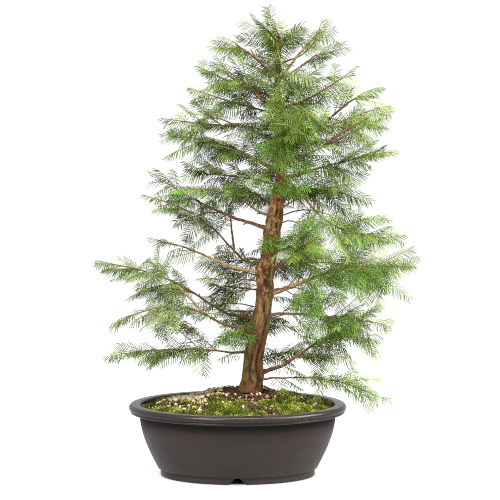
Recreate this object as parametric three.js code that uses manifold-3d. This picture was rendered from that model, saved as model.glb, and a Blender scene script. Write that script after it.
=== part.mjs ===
// A dawn redwood grown as a bonsai, standing in its oval plastic training pot.
//
// Millimetres, +Z up, +X to the right and -Y to the front. z = 0 is the flat underside of the pot's
// foot ring. The plant is laid out from the middle of the pot, and the last lines move the whole
// group sideways, so that its box is centred on x = 0, y = 0.
//
// Planter: an oval pot with a rolled lip, filled with a mound of soil that carries a pad of moss.
// Tree: one whole trunk, boughs that each taper from the trunk to the foliage they carry, and
// masses of foliage. A mass is one stem with side twigs, placed by a seeded rule, and each twig
// ends in a spray of needles, made as a toothed blade that is sunk into the twig.

import * as THREE from "three";
import { mergeVertices } from "three/addons/utils/BufferGeometryUtils.js";
import Module from "manifold-3d";

// ---------------------------------------------------------------- driving dimensions

const GAP = 0.3; // left between pieces that touch

const POT = {
  height: 118,
  rimHalfWidth: 178,
  ovalBy: 36, // each ring is this much shallower than it is wide, on either side of the middle
  roundest: 0.4, // depth over width near the middle, where ovalBy would turn the ring inside out
  lipHeight: 14.5,
  lipRounding: 5,
  lipSetBack: 1.5, // of the lip's face near its top
  throatHalfWidth: 159, // the lip's inner edge
  wallFootHalfWidth: 130,
  wallTopHalfWidth: 160.5,
  wallThickness: 3.5,
  floorHeight: 9.5,
  floorThickness: 4,
  footHalfWidth: 126.5,
  footWidth: 8,
  footStep: 0.5, // between the foot ring and the wall's lower edge
  outerSteps: 4,
  innerSteps: 2,
};

const SEGMENTS = 36; // round the pot and its soil

const NOTCH = { widthBelow: 21, widthAbove: 9, height: 8.5 }; // cut through the foot, front and back

const SOIL = {
  edgeHeight: 109, // where it meets the pot
  edgeHalfWidth: 156.5,
  peakHeight: 137, // where the trunk stands
  trunkPad: 25, // radius of the level top round the trunk's foot
  rings: [0.3, 0.65], // from the pad, 0, to the pot, 1
  dome: 0.8, // under 1, the slope is steepest at the pad
  unevenness: 1.6,
  lumps: [{ lobes: 5, twist: 7 }, { lobes: 3, twist: -11 }],
};

const MOSS = {
  thickness: 3.5,
  edgeThickness: 1,
  ringFade: 0.45, // at the inner and outer ring, as a share of the thickness
  firstSegment: -15, // in segments of the soil, from +X
  lastSegment: 4,
  outerShare: 0.985, // how near it comes to the pot, in the soil's shares
};

// The trunk's middle and radius at each height, with the slow S of its lean.
// The first one is under the ground: the flat cut is at GROUND.
const GROUND = SOIL.peakHeight + GAP;
const BELOW_GROUND = 6;
const TRUNK = [
  { height: GROUND - BELOW_GROUND, x: 21, y: 0, radius: 16.9 },
  { height: 200, x: 27.5, y: 0, radius: 15.6 },
  { height: 250, x: 38, y: 2, radius: 14.4 },
  { height: 305, x: 44, y: 4, radius: 13.4 },
  { height: 333, x: 45.5, y: 3, radius: 14.1 },
  { height: 360, x: 51.5, y: 1, radius: 13.4 },
  { height: 414, x: 59.5, y: -2, radius: 12.8 },
  { height: 445, x: 64.5, y: -3, radius: 11.2 },
  { height: 495, x: 71, y: 0, radius: 7.9 },
  { height: 580, x: 67, y: 3, radius: 5.7 },
  { height: 645, x: 64, y: 1, radius: 4.1 },
  { height: 705, x: 69, y: 0, radius: 2.2 },
];
const FLARE = { lobes: 5, depth: 0.12, spread: 0.22, height: 16 };

// Every bough swells at the trunk and tapers to its tip. Both shares are of its own radius.
const BOUGH = { tipShare: 0.62, swell: 0.5, swellLength: 5 };

// Boughs, from the lowest up on each side. A bough leaves the trunk at `height`, runs `reach` along
// `heading` (degrees from +X, 90 is the back) while it climbs by `rise`, and hangs `sag` below the
// straight line at its middle. Its foliage goes on from its tip: `length` along a heading of its
// own to the last needle, climbing by `rise`, and `spread` to either side.
const BOUGHS = {
  left_1: { height: 204, heading: 191, reach: 50, rise: 0, sag: 2, radius: 2.6,
    foliage: { heading: 188, length: 195, rise: -5, spread: 62 } },
  left_2: { height: 243, heading: 193, reach: 88, rise: 21, sag: 8, radius: 3.0,
    foliage: { heading: 200, length: 164, rise: -10, spread: 62 } },
  left_3: { height: 258, heading: 165, reach: 98, rise: 27, sag: 10, radius: 3.0,
    foliage: { heading: 169, length: 184, rise: 59, spread: 68 } },
  left_4: { height: 332, heading: 193, reach: 100, rise: 30, sag: 5, radius: 2.7,
    foliage: { heading: 195, length: 92, rise: 28, spread: 42 } },
  left_5: { height: 344, heading: 149, reach: 80, rise: 36, sag: 12, radius: 2.4,
    foliage: { heading: 159, length: 144, rise: 72, spread: 48 } },
  left_6: { height: 401, heading: 173, reach: 84, rise: 29, sag: 1, radius: 3.1,
    foliage: { heading: 176, length: 115, rise: 65, spread: 60 } },
  left_7: { height: 428, heading: 211, reach: 44, rise: 13, sag: 5, radius: 2.6,
    foliage: { heading: 206, length: 142, rise: 31, spread: 60 } },
  left_8: { height: 500, heading: 149, reach: 45, rise: 15, sag: 2, radius: 2.4,
    foliage: { heading: 163, length: 167, rise: 41, spread: 64 } },
  left_9: { height: 560, heading: 190, reach: 56, rise: 10, sag: -2, radius: 2.4,
    foliage: { heading: 195, length: 137, rise: 14, spread: 56 } },
  left_11: { height: 602, heading: 206, reach: 40, rise: 20, sag: 3, radius: 2.0,
    foliage: { heading: 214, length: 76, rise: 52, spread: 46 } },
  left_12: { height: 616, heading: 167, reach: 48, rise: 14, sag: 1, radius: 2.0,
    foliage: { heading: 164, length: 86, rise: 38, spread: 46 } },
  left_13: { height: 661, heading: 185, reach: 40, rise: 22, sag: 1, radius: 1.8,
    foliage: { heading: 181, length: 62, rise: 29, spread: 40 } },
  right_1: { height: 159, heading: 349, reach: 70, rise: 3, sag: 1, radius: 1.9,
    foliage: { heading: 348, length: 156, rise: -35, spread: 48 } },
  right_2: { height: 166, heading: 12, reach: 88, rise: 36, sag: 7, radius: 3.6,
    foliage: { heading: 13, length: 124, rise: 14, spread: 72 } },
  right_3: { height: 260, heading: 345, reach: 58, rise: 6, sag: -2, radius: 2.6,
    foliage: { heading: 347, length: 154, rise: -13, spread: 66 } },
  right_4: { height: 297, heading: 7, reach: 77, rise: 24, sag: 2, radius: 4.4,
    foliage: { heading: 8, length: 175, rise: 16, spread: 76 } },
  right_7: { height: 474, heading: 327, reach: 64, rise: -34, sag: -8, radius: 2.6,
    foliage: { heading: 345, length: 147, rise: -44, spread: 72 } },
  right_8: { height: 488, heading: 8, reach: 48, rise: 10, sag: 1, radius: 3.0,
    foliage: { heading: 7, length: 142, rise: 32, spread: 64 } },
  right_9: { height: 516, heading: 344, reach: 50, rise: 12, sag: 3, radius: 2.6,
    foliage: { heading: 342, length: 116, rise: 56, spread: 56 } },
  right_10: { height: 548, heading: 32, reach: 52, rise: 6, sag: 3, radius: 2.6,
    foliage: { heading: 23, length: 148, rise: 51, spread: 60 } },
  right_12: { height: 645, heading: 23, reach: 40, rise: 21, sag: 1, radius: 2.1,
    foliage: { heading: 17, length: 80, rise: 35, spread: 44 } },
  right_13: { height: 672, heading: 346, reach: 30, rise: 9, sag: 1, radius: 1.7,
    foliage: { heading: 356, length: 42, rise: 61, spread: 32 } },
};

// Foliage whose own stem leaves the trunk, with `start` the stem's first climb in degrees.
const TRUNK_FOLIAGE = {
  front_1: { height: 490, heading: 250, length: 108, rise: -4, spread: 56, start: 25, radius: 1.8 },
  front_2: { height: 572, heading: 281, length: 120, rise: -22, spread: 60, start: 25, radius: 1.8 },
  front_3: { height: 655, heading: 262, length: 72, rise: 20, spread: 42, start: 40, radius: 1.5 },
  back_1: { height: 226, heading: 98, length: 188, rise: 22, spread: 66, start: 20, radius: 2.6 },
  back_2: { height: 331, heading: 62, length: 182, rise: 26, spread: 66, start: 15, radius: 2.6 },
  back_3: { height: 436, heading: 116, length: 172, rise: 30, spread: 62, start: 20, radius: 2.4 },
  back_4: { height: 545, heading: 79, length: 138, rise: 32, spread: 56, start: 20, radius: 2.0 },
  left_10: { height: 590, heading: 150, length: 168, rise: 42, spread: 48, start: 10, radius: 1.9 },
  right_5: { height: 363, heading: 303, length: 146, rise: 30, spread: 66, start: 15, radius: 2.6 },
  right_6: { height: 451, heading: 36, length: 188, rise: -12, spread: 60, start: 25, radius: 2.4 },
  right_11: { height: 597, heading: 342, length: 130, rise: 69, spread: 46, start: 15, radius: 1.9 },
};

// The leader's foliage stands on the trunk's tip.
const TOP_FOLIAGE = { heading: 200, length: 28, rise: 55, spread: 46, start: 80, radius: 1.9 };

const GROWTH = {
  seed: 2311,
  shootPitch: 14.3, // of stem for each side shoot
  pitchPlay: 0.3, // of the pitch, either way
  firstShoot: 0.12, // as a share of the stem's curve
  endFree: 0.02, // from the last shoot to the stem's end, as a share too
  forward: 50, // degrees between the stem and a shoot
  forwardPlay: 16,
  roll: 25, // degrees that a whole mass may be rolled about its stem, either way
  rollPlay: 62, // and each shoot on top of that
  endReach: 0.85, // of the shoots at either end, as a share of the mass's spread
  belly: 0.3, // added to it half-way along
  reachPlay: 0.2, // of the reach, either way
};

// A spray of needles is a toothed blade, thickest along its middle.
const BLADE = {
  shortest: 44,
  longest: 95,
  shareOfShoot: 0.78,
  widthShare: 0.56,
  flatness: 0.08, // thickness over width
  sunk: 8, // inside the twig or stem that carries it
  teeth: [[0.4, 0.48], [0.38, 0.2], [0.76, 0.4]], // share of the length, half the width
  shoulder: 0.3, // the share of its length that may cross its neighbours
  lastLength: 40, // from the stem's end to the mass's last needle, as far as the shares allow
  lastShares: [0.24, 0.6],
  lastTilt: 0.6, // of the last blade's plane, as the slope of its side
};

const STEM = { tipShare: 0.75, setOff: 0.45 }; // setOff: how far it keeps its first direction
const TWIG = { radius: 1.7, tipRadius: 1.3, shortest: 15 };
const TEST_MARGIN = 0.7; // kept free round each shoot

const SECTIONS = { trunk: [12, 14], bough: [6, 4], stem: [4, 3], twig: [3, 1] }; // sides, steps

// ---------------------------------------------------------------- materials

const finish = (color, roughness) => new THREE.MeshStandardMaterial({ color, roughness, metalness: 0 });
const PLASTIC = finish(0x4b4441, 0.55);
const EARTH = finish(0x4a3826, 0.95);
const MOSS_GREEN = finish(0x8fa11f, 0.95);
const BARK = finish(0x8a5f42, 0.9);
const YOUNG_BARK = finish(0x94623f, 0.8);
const NEEDLES = finish(0x5f9140, 0.6);

// ---------------------------------------------------------------- solids

const wasm = await Module();
wasm.setup();

const MERGE = 1e-4;

function solidOf(geometry) {
  const bare = geometry.index ? geometry.toNonIndexed() : geometry.clone();
  bare.deleteAttribute("normal");
  bare.deleteAttribute("uv");
  const merged = mergeVertices(bare, MERGE);
  const vertProperties = merged.attributes.position.array;
  const triVerts = new Uint32Array(merged.index.array);
  return new wasm.Manifold(new wasm.Mesh({ numProp: 3, vertProperties, triVerts }));
}

function meshOf(name, solid, material) {
  const { vertProperties, triVerts } = solid.getMesh();
  const geometry = new THREE.BufferGeometry();
  geometry.setAttribute("position", new THREE.BufferAttribute(new Float32Array(vertProperties), 3));
  geometry.setIndex(new THREE.BufferAttribute(new Uint32Array(triVerts), 1));
  geometry.computeVertexNormals();
  const mesh = new THREE.Mesh(geometry, material);
  mesh.name = name;
  return mesh;
}

// Moves each vertex of a geometry to where `place` says.
function reshape(geometry, place) {
  const at = geometry.attributes.position;
  const vertex = new THREE.Vector3();
  for (let i = 0; i < at.count; i++) {
    const { x, y, z } = place(vertex.fromBufferAttribute(at, i));
    at.setXYZ(i, x, y, z);
  }
  return geometry;
}

// The largest body of a solid: a scrap that a cut has loosened is dropped.
function largestBody(solid) {
  return solid.decompose().reduce((best, body) => (body.volume() > best.volume() ? body : best));
}

function boxesMeet(a, b) {
  return [0, 1, 2].every((axis) => a.min[axis] < b.max[axis] && b.min[axis] < a.max[axis]);
}

// A solid with its box at hand, so that most tests against it cost nothing.
const boxed = (solid) => ({ solid, box: solid.boundingBox() });

function isClear(solid, others) {
  const box = solid.boundingBox();
  return others.every((other) => !boxesMeet(box, other.box) || solid.intersect(other.solid).isEmpty());
}

// ---------------------------------------------------------------- small maths

const UP = new THREE.Vector3(0, 0, 1);
const radians = THREE.MathUtils.degToRad;
const lerp = THREE.MathUtils.lerp;
const point = (x, y) => new THREE.Vector2(x, y);

function compass(heading, climb = 0) {
  const level = Math.cos(radians(climb));
  const turn = radians(heading);
  return new THREE.Vector3(level * Math.cos(turn), level * Math.sin(turn), Math.sin(radians(climb)));
}

// Numbers from 0 to 1, the same ones each time for a seed.
function seeded(seed) {
  let state = seed | 0;
  return () => {
    state = (state + 0x6d2b79f5) | 0;
    let mixed = Math.imul(state ^ (state >>> 15), 1 | state);
    mixed = (mixed + Math.imul(mixed ^ (mixed >>> 7), 61 | mixed)) ^ mixed;
    return ((mixed ^ (mixed >>> 14)) >>> 0) / 4294967296;
  };
}

// ---------------------------------------------------------------- planter

// Turns a ring of a lathe into an oval of the same width.
function oval({ x, y, z }) {
  const radius = Math.hypot(x, y);
  const depth = Math.max(radius - POT.ovalBy, radius * POT.roundest);
  return { x, y: radius > 0 ? (y * depth) / radius : 0, z };
}

function lathe(profile) {
  return new THREE.LatheGeometry(profile, SEGMENTS).rotateX(Math.PI / 2);
}

// Half the wall's outer width at a height: it swells from the foot and stands upright at the lip.
function wallHalfWidth(height) {
  const share = (height - POT.floorHeight) / (POT.height - POT.lipHeight - POT.floorHeight);
  return lerp(POT.wallFootHalfWidth, POT.wallTopHalfWidth, Math.sin((share * Math.PI) / 2));
}

const innerHalfWidth = (height) => wallHalfWidth(height) - POT.wallThickness;

function heights(from, to, steps) {
  return Array.from({ length: steps + 1 }, (_, i) => lerp(from, to, i / steps));
}

const POT_FLOOR = POT.floorHeight + POT.floorThickness; // its upper side
const LIP_FOOT = POT.height - POT.lipHeight;
const INNER_HEIGHTS = heights(POT_FLOOR, LIP_FOOT, POT.innerSteps);

// The lip's section, from under its overhang over the top to the throat.
function lipProfile() {
  const { rimHalfWidth: rim, throatHalfWidth: throat, height: top, lipRounding: round } = POT;
  return [
    point(rim - round, LIP_FOOT),
    point(rim - POT.lipSetBack / 2, LIP_FOOT + round / 2),
    point(rim, LIP_FOOT + POT.lipHeight / 2),
    point(rim - POT.lipSetBack, top - round / 2),
    point(rim - round, top),
    point(throat + round, top),
    point(throat, top - round),
  ];
}

// A wedge-shaped block across the foot ring: sign -1 is the front.
function notch(sign) {
  const { widthBelow: below, widthAbove: above, height } = NOTCH;
  const outline = new THREE.Shape([
    point(-below / 2, -GAP), point(below / 2, -GAP), point(above / 2, height), point(-above / 2, height),
  ]);
  const depth = 4 * POT.footWidth;
  const reach = POT.footHalfWidth - POT.ovalBy - POT.footWidth / 2;
  const block = new THREE.ExtrudeGeometry(outline, { depth, bevelEnabled: false });
  return solidOf(block.translate(0, 0, -depth / 2).rotateX(Math.PI / 2).translate(0, sign * reach, 0));
}

function pot() {
  const { floorHeight: below, footHalfWidth: foot, footWidth } = POT;
  const profile = [
    point(0, below),
    point(foot - footWidth, below),
    point(foot - footWidth, 0),
    point(foot, 0),
    point(foot, below - POT.footStep),
    ...heights(below, LIP_FOOT, POT.outerSteps).map((z) => point(wallHalfWidth(z), z)),
    ...lipProfile(),
    ...INNER_HEIGHTS.toReversed().map((z) => point(innerHalfWidth(z), z)),
    point(0, POT_FLOOR),
  ];
  const shell = solidOf(reshape(lathe(profile), oval));
  return shell.subtract(notch(-1)).subtract(notch(1));
}

// A point on the soil's top: share 0 is the level pad round the trunk, and 1 the edge at the pot.
function soilTop(share, angle) {
  const [across, along] = [Math.cos(angle), Math.sin(angle)];
  const edge = oval({ x: SOIL.edgeHalfWidth * across, y: SOIL.edgeHalfWidth * along });
  const pad = { x: TRUNK[0].x + SOIL.trunkPad * across, y: SOIL.trunkPad * along };
  const lump = SOIL.lumps.reduce((sum, { lobes, twist }) => sum + Math.sin(angle * lobes + share * twist), 0);
  const slope = lerp(SOIL.peakHeight, SOIL.edgeHeight, share ** SOIL.dome);
  const uneven = SOIL.unevenness * lump * Math.sin(share * Math.PI);
  return new THREE.Vector3(lerp(pad.x, edge.x, share), lerp(pad.y, edge.y, share), slope + uneven);
}

// A lathe whose profile's last points, all at `above`, stand for the rings that soilTop places.
function soil() {
  const shares = [1, ...SOIL.rings.toReversed(), 0];
  const above = SOIL.peakHeight;
  const profile = [
    point(0, POT_FLOOR + GAP),
    ...INNER_HEIGHTS.map((z, i) => point(innerHalfWidth(z) - 2 * GAP, i ? z : z + GAP)),
    ...shares.map((share) => point(1 + share, above)),
    point(0, above),
  ];
  const place = ({ x, y, z }) => {
    const radius = Math.hypot(x, y);
    if (z < above - MERGE) return oval({ x, y, z });
    if (radius < 0.5) return { x: TRUNK[0].x, y: 0, z: SOIL.peakHeight };
    return soilTop(Math.max(radius - 1, 0), Math.atan2(y, x));
  };
  return solidOf(reshape(lathe(profile), place));
}

// A pad on the front and right of the mound, thinning out to its edges, GAP above the soil.
function moss() {
  const { firstSegment: first, lastSegment: last } = MOSS;
  const shares = [...SOIL.rings, 1];
  const [across, along] = [last - first, shares.length - 1];
  const block = new THREE.BoxGeometry(1, 1, 1, across, along, 1);
  return solidOf(reshape(block, ({ x, y, z }) => {
    const ring = Math.round((0.5 - y) * along);
    const angle = ((first + Math.round((x + 0.5) * across)) * 2 * Math.PI) / SEGMENTS;
    const fade = Math.sqrt(Math.sin((x + 0.5) * Math.PI)) * (ring % along ? 1 : MOSS.ringFade);
    const lift = z > 0 ? lerp(MOSS.edgeThickness, MOSS.thickness, fade) : GAP;
    return soilTop(Math.min(shares[ring], MOSS.outerShare), angle).addScaledVector(UP, lift);
  }));
}

// ---------------------------------------------------------------- limbs

// A cylinder bent along a curve, with its radius worked out at each step.
function limb(curve, [sides, steps], radiusAt) {
  const { normals, binormals } = curve.computeFrenetFrames(steps, false);
  const bend = ({ x, y, z }) => {
    const share = y + 0.5;
    const step = Math.round(share * steps);
    const radius = radiusAt(share, Math.atan2(z, x));
    return curve
      .getPointAt(share)
      .addScaledVector(normals[step], x * radius)
      .addScaledVector(binormals[step], -z * radius);
  };
  return solidOf(reshape(new THREE.CylinderGeometry(1, 1, 1, sides, steps), bend));
}

const stations = TRUNK.map(({ x, y, height }) => new THREE.Vector3(x, y, height));
const trunkCurve = new THREE.CatmullRomCurve3(stations);

// The trunk's middle and radius at a height.
function trunkAt(height) {
  const above = TRUNK.findIndex((station) => station.height >= height);
  const upper = TRUNK[Math.max(above, 1)];
  const lower = TRUNK[Math.max(above, 1) - 1];
  const share = (height - lower.height) / (upper.height - lower.height);
  const middle = (key) => lerp(lower[key], upper[key], share);
  return { centre: new THREE.Vector3(middle("x"), middle("y"), height), radius: middle("radius") };
}

// The whole trunk, thicker by `extra` where it is only a cutter.
function trunk(extra) {
  const whole = limb(trunkCurve, SECTIONS.trunk, (share, angle) => {
    const { z } = trunkCurve.getPointAt(share);
    const flare = Math.exp(-Math.max(z - GROUND, 0) / FLARE.height);
    const lobe = FLARE.depth * Math.cos(FLARE.lobes * angle);
    return trunkAt(z).radius * (1 + flare * (FLARE.spread + lobe)) + extra;
  });
  const side = 4 * TRUNK[0].radius;
  const below = new THREE.BoxGeometry(side, side, side).translate(TRUNK[0].x, 0, GROUND - side / 2);
  return whole.subtract(solidOf(below));
}

const trunkSolid = trunk(0);
const trunkWithGap = trunk(GAP);

// From the trunk's middle to the bough's tip, hanging by `sag`.
function boughCurve({ height, heading, reach, rise, sag }) {
  const start = trunkAt(height).centre;
  const end = start.clone().addScaledVector(compass(heading), reach).addScaledVector(UP, rise);
  const middle = start.clone().lerp(end, 0.5).addScaledVector(UP, -2 * sag);
  return new THREE.QuadraticBezierCurve3(start, middle, end);
}

function bough(row) {
  const bark = trunkAt(row.height).radius;
  const fromBark = (share) => Math.max(share * row.reach - bark, 0);
  const swell = (share) => 1 + BOUGH.swell * Math.exp(-fromBark(share) / BOUGH.swellLength);
  const radiusAt = (share) => row.radius * lerp(1, BOUGH.tipShare, share) * swell(share);
  return largestBody(limb(boughCurve(row), SECTIONS.bough, radiusAt).subtract(trunkWithGap));
}

// ---------------------------------------------------------------- foliage

// A stem's curve: it sets off along `setOff` and ends at the mass's last needle.
function stemCurve(start, setOff, { heading, length, rise }) {
  const end = start.clone().addScaledVector(compass(heading), length).addScaledVector(UP, rise);
  const middle = start.clone().addScaledVector(setOff, STEM.setOff * start.distanceTo(end));
  return new THREE.QuadraticBezierCurve3(start, middle, end);
}

// Where the stem's solid ends, as a share of its curve: the last blade reaches on to the last needle.
function stemEnd(curve) {
  const share = BLADE.lastLength / curve.v0.distanceTo(curve.v2);
  return 1 - THREE.MathUtils.clamp(share, ...BLADE.lastShares);
}

// The shoots of a mass: where each leaves the stem, which way it goes and how long it is.
function shootsOf(curve, spread, random) {
  const [first, last] = [GROWTH.firstShoot, stemEnd(curve) - GROWTH.endFree];
  const count = Math.max(2, Math.round((curve.getLength() * (last - first)) / GROWTH.shootPitch));
  const play = () => 2 * random() - 1;
  const massRoll = GROWTH.roll * play();
  return Array.from({ length: count }, (_, k) => {
    const along = (k + 0.5 + GROWTH.pitchPlay * play()) / count;
    const share = lerp(first, last, along);
    const side = k % 2 ? 1 : -1;
    const angle = radians(GROWTH.forward + GROWTH.forwardPlay * play());
    const roll = radians(massRoll + GROWTH.rollPlay * play());
    const fullness = GROWTH.endReach + GROWTH.belly * Math.sin(Math.PI * along);
    const reach = spread * fullness * (1 + GROWTH.reachPlay * play());
    const tangent = curve.getTangent(share);
    const level = new THREE.Vector3().crossVectors(UP, tangent).normalize();
    const outward = level.applyAxisAngle(tangent, roll).multiplyScalar(side);
    const heading = tangent.clone().multiplyScalar(Math.cos(angle)).addScaledVector(outward, Math.sin(angle));
    return { start: curve.getPoint(share), heading, tangent, reach };
  });
}

// A toothed blade from `start` along `heading`, lying in the plane that also holds `beside`.
function blade(start, heading, beside, length, margin = 0) {
  const width = length * BLADE.widthShare;
  const teeth = BLADE.teeth.map(([share, half]) => point(half * width + margin, share * length));
  const spindle = new THREE.LatheGeometry([point(0, 0), ...teeth, point(0, length + margin)], 4);
  const normal = new THREE.Vector3().crossVectors(heading, beside).normalize();
  const across = new THREE.Vector3().crossVectors(heading, normal);
  return solidOf(reshape(spindle, ({ x, y, z }) => start
    .clone()
    .addScaledVector(across, x)
    .addScaledVector(heading, y)
    .addScaledVector(normal, z * BLADE.flatness + Math.sign(z) * margin)));
}

function twig(start, heading, length, margin = 0) {
  const curve = new THREE.LineCurve3(start, start.clone().addScaledVector(heading, length));
  return limb(curve, SECTIONS.twig, (share) => lerp(TWIG.radius, TWIG.tipRadius, share) + margin);
}

// Where a shoot's blade starts and how long it is: in the end of a twig, or on a short shoot in the stem.
function bladeOf({ start, heading, reach }) {
  const length = THREE.MathUtils.clamp(reach * BLADE.shareOfShoot, BLADE.shortest, BLADE.longest);
  const bare = reach - length;
  if (bare < TWIG.shortest) return { root: start, length: reach, bare: 0 };
  return { root: start.clone().addScaledVector(heading, bare), length, bare };
}

function shoot(each, margin) {
  const { root, length, bare } = bladeOf(each);
  const spray = blade(root, each.heading, each.tangent, length, margin);
  return bare ? twig(each.start, each.heading, bare + BLADE.sunk, margin).add(spray) : spray;
}

// The outer part of a shoot's blade, which has to miss the mass's other blades.
function outerPart(each) {
  const { root, length } = bladeOf(each);
  const start = root.clone().addScaledVector(each.heading, length * BLADE.shoulder);
  return blade(start, each.heading, each.tangent, length * (1 - BLADE.shoulder));
}

function stem(curve, radius) {
  const end = stemEnd(curve);
  const solid = new THREE.QuadraticBezierCurve3(curve.v0, curve.v1, curve.v2);
  solid.getPointAt = (share) => curve.getPoint(share * end);
  return limb(solid, SECTIONS.stem, (share) => radius * lerp(1, STEM.tipShare, share));
}

function lastBlade(curve) {
  const end = curve.getPoint(stemEnd(curve));
  const heading = curve.v2.clone().sub(end).normalize();
  const root = end.clone().addScaledVector(heading, -BLADE.sunk);
  const beside = new THREE.Vector3().crossVectors(UP, heading).addScaledVector(UP, BLADE.lastTilt);
  return blade(root, heading, beside, root.distanceTo(curve.v2));
}

// A mass: its own stem, with each shoot that misses the mass's other blades and everything in `others`.
function foliage({ curve, row, core, seed }, others) {
  const random = seeded(seed);
  const last = lastBlade(curve);
  const pieces = isClear(last, others) ? [last] : [];
  const taken = pieces.map(boxed);
  for (const each of shootsOf(curve, row.spread, random)) {
    const outer = outerPart(each);
    if (!isClear(shoot(each, TEST_MARGIN), others) || !isClear(outer, taken)) continue;
    pieces.push(shoot(each, 0));
    taken.push(boxed(outer));
  }
  return largestBody(pieces.reduce((whole, piece) => whole.add(piece), core));
}

// ---------------------------------------------------------------- the plant

const potSolid = pot();
const soilSolid = soil();
const mossSolid = moss();

const boughs = Object.entries(BOUGHS).map(([name, row]) => ({ name, solid: bough(row) }));

// The start of each mass: its stem's curve and solid.
const masses = [
  ...Object.entries(BOUGHS).map(([name, row]) => {
    const curve = boughCurve(row);
    const setOff = curve.getTangent(1);
    const start = curve.v2.clone().addScaledVector(setOff, GAP);
    return { name, row: row.foliage, start, setOff, radius: row.radius * BOUGH.tipShare };
  }),
  ...Object.entries(TRUNK_FOLIAGE).map(([name, row]) => {
    const start = trunkAt(row.height).centre;
    return { name, row, start, setOff: compass(row.heading, row.start), radius: row.radius };
  }),
  {
    name: "top",
    row: TOP_FOLIAGE,
    start: trunkCurve.getPoint(1).addScaledVector(UP, GAP),
    setOff: compass(TOP_FOLIAGE.heading, TOP_FOLIAGE.start),
    radius: TOP_FOLIAGE.radius,
  },
].map((mass, index) => {
  const curve = stemCurve(mass.start, mass.setOff, mass.row);
  const core = largestBody(stem(curve, mass.radius).subtract(trunkWithGap));
  return { ...mass, curve, core, seed: GROWTH.seed + index };
});

const fixed = [potSolid, soilSolid, mossSolid, trunkSolid, ...boughs.map(({ solid }) => solid)].map(boxed);
const grown = masses.map(({ core }) => boxed(core));
masses.forEach((mass, index) => {
  const others = [...fixed, ...grown.filter((_, other) => other !== index)];
  mass.solid = foliage(mass, others);
  grown[index] = boxed(mass.solid);
});

const group = (name, ...children) => {
  const made = new THREE.Group();
  made.name = name;
  return made.add(...children);
};

const planter = group("planter",
  meshOf("pot", potSolid, PLASTIC), meshOf("soil", soilSolid, EARTH), meshOf("moss", mossSolid, MOSS_GREEN));

const tree = group("tree",
  meshOf("trunk", trunkSolid, BARK),
  group("boughs", ...boughs.map(({ name, solid }) => meshOf("bough_" + name, solid, YOUNG_BARK))),
  group("foliage", ...masses.map(({ name, solid }) => meshOf("foliage_" + name, solid, NEEDLES))));

const plant = group("dawn_redwood_bonsai", planter, tree);
const middle = new THREE.Box3().setFromObject(plant).getCenter(new THREE.Vector3());
plant.position.set(-middle.x, -middle.y, 0);

export default plant;
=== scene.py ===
"""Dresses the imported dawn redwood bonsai: bark, twigs, needles, pot, soil and moss.

Metres, +Z up, +X to the right, -Y to the front. Headings turn from +X towards +Y. Headings, climbs
and other angles with a name are in degrees. The plant is laid out from the middle of its pot, and
MIDDLE moves each piece from there into the row's frame.
"""

import math
from collections import namedtuple

import bpy
import numpy as np
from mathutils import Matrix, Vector, noise


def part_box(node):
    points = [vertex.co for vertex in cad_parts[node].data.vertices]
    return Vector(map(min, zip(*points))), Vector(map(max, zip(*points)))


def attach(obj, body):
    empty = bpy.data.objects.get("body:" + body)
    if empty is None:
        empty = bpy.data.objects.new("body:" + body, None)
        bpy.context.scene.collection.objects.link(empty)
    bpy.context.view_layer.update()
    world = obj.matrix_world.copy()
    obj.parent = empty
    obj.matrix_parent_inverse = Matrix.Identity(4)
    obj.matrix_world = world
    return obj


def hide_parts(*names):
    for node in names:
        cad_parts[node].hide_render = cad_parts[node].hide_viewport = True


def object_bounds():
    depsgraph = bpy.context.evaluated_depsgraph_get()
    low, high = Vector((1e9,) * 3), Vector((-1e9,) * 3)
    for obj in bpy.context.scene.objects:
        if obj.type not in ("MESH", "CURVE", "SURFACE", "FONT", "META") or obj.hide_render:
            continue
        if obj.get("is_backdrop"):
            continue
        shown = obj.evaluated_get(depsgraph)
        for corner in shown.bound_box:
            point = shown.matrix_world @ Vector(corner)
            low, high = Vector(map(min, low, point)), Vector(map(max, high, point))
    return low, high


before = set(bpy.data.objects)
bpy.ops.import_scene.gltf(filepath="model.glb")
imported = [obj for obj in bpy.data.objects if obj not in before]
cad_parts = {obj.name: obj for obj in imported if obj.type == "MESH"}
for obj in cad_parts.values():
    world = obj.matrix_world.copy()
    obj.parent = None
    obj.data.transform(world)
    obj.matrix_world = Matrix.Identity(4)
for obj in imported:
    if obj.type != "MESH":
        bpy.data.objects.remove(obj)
CAD_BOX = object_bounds()

# ---------------------------------------------------------------- sizes, worked out from the frame

POT_LOW, POT_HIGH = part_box("pot")
MIDDLE = np.array([(POT_LOW.x + POT_HIGH.x) / 2, (POT_LOW.y + POT_HIGH.y) / 2, 0.0])
RIM_HALF_WIDTH = (POT_HIGH.x - POT_LOW.x) / 2
OVAL_BY = RIM_HALF_WIDTH - (POT_HIGH.y - POT_LOW.y) / 2  # how much shallower a ring is than wide
POT_HEIGHT = POT_HIGH.z
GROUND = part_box("trunk")[0].z
SOIL_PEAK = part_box("soil")[1].z
CROWN_TOP = CAD_BOX[1].z

# ---------------------------------------------------------------- the plant's layout

Foliage = namedtuple("Foliage", "heading length rise spread")
Bough = namedtuple("Bough", "height heading reach rise sag radius foliage")
Stem = namedtuple("Stem", "height climb radius foliage")
Branch = namedtuple("Branch", "carrier at heading climb length radius tip bark leafy_from")

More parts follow.
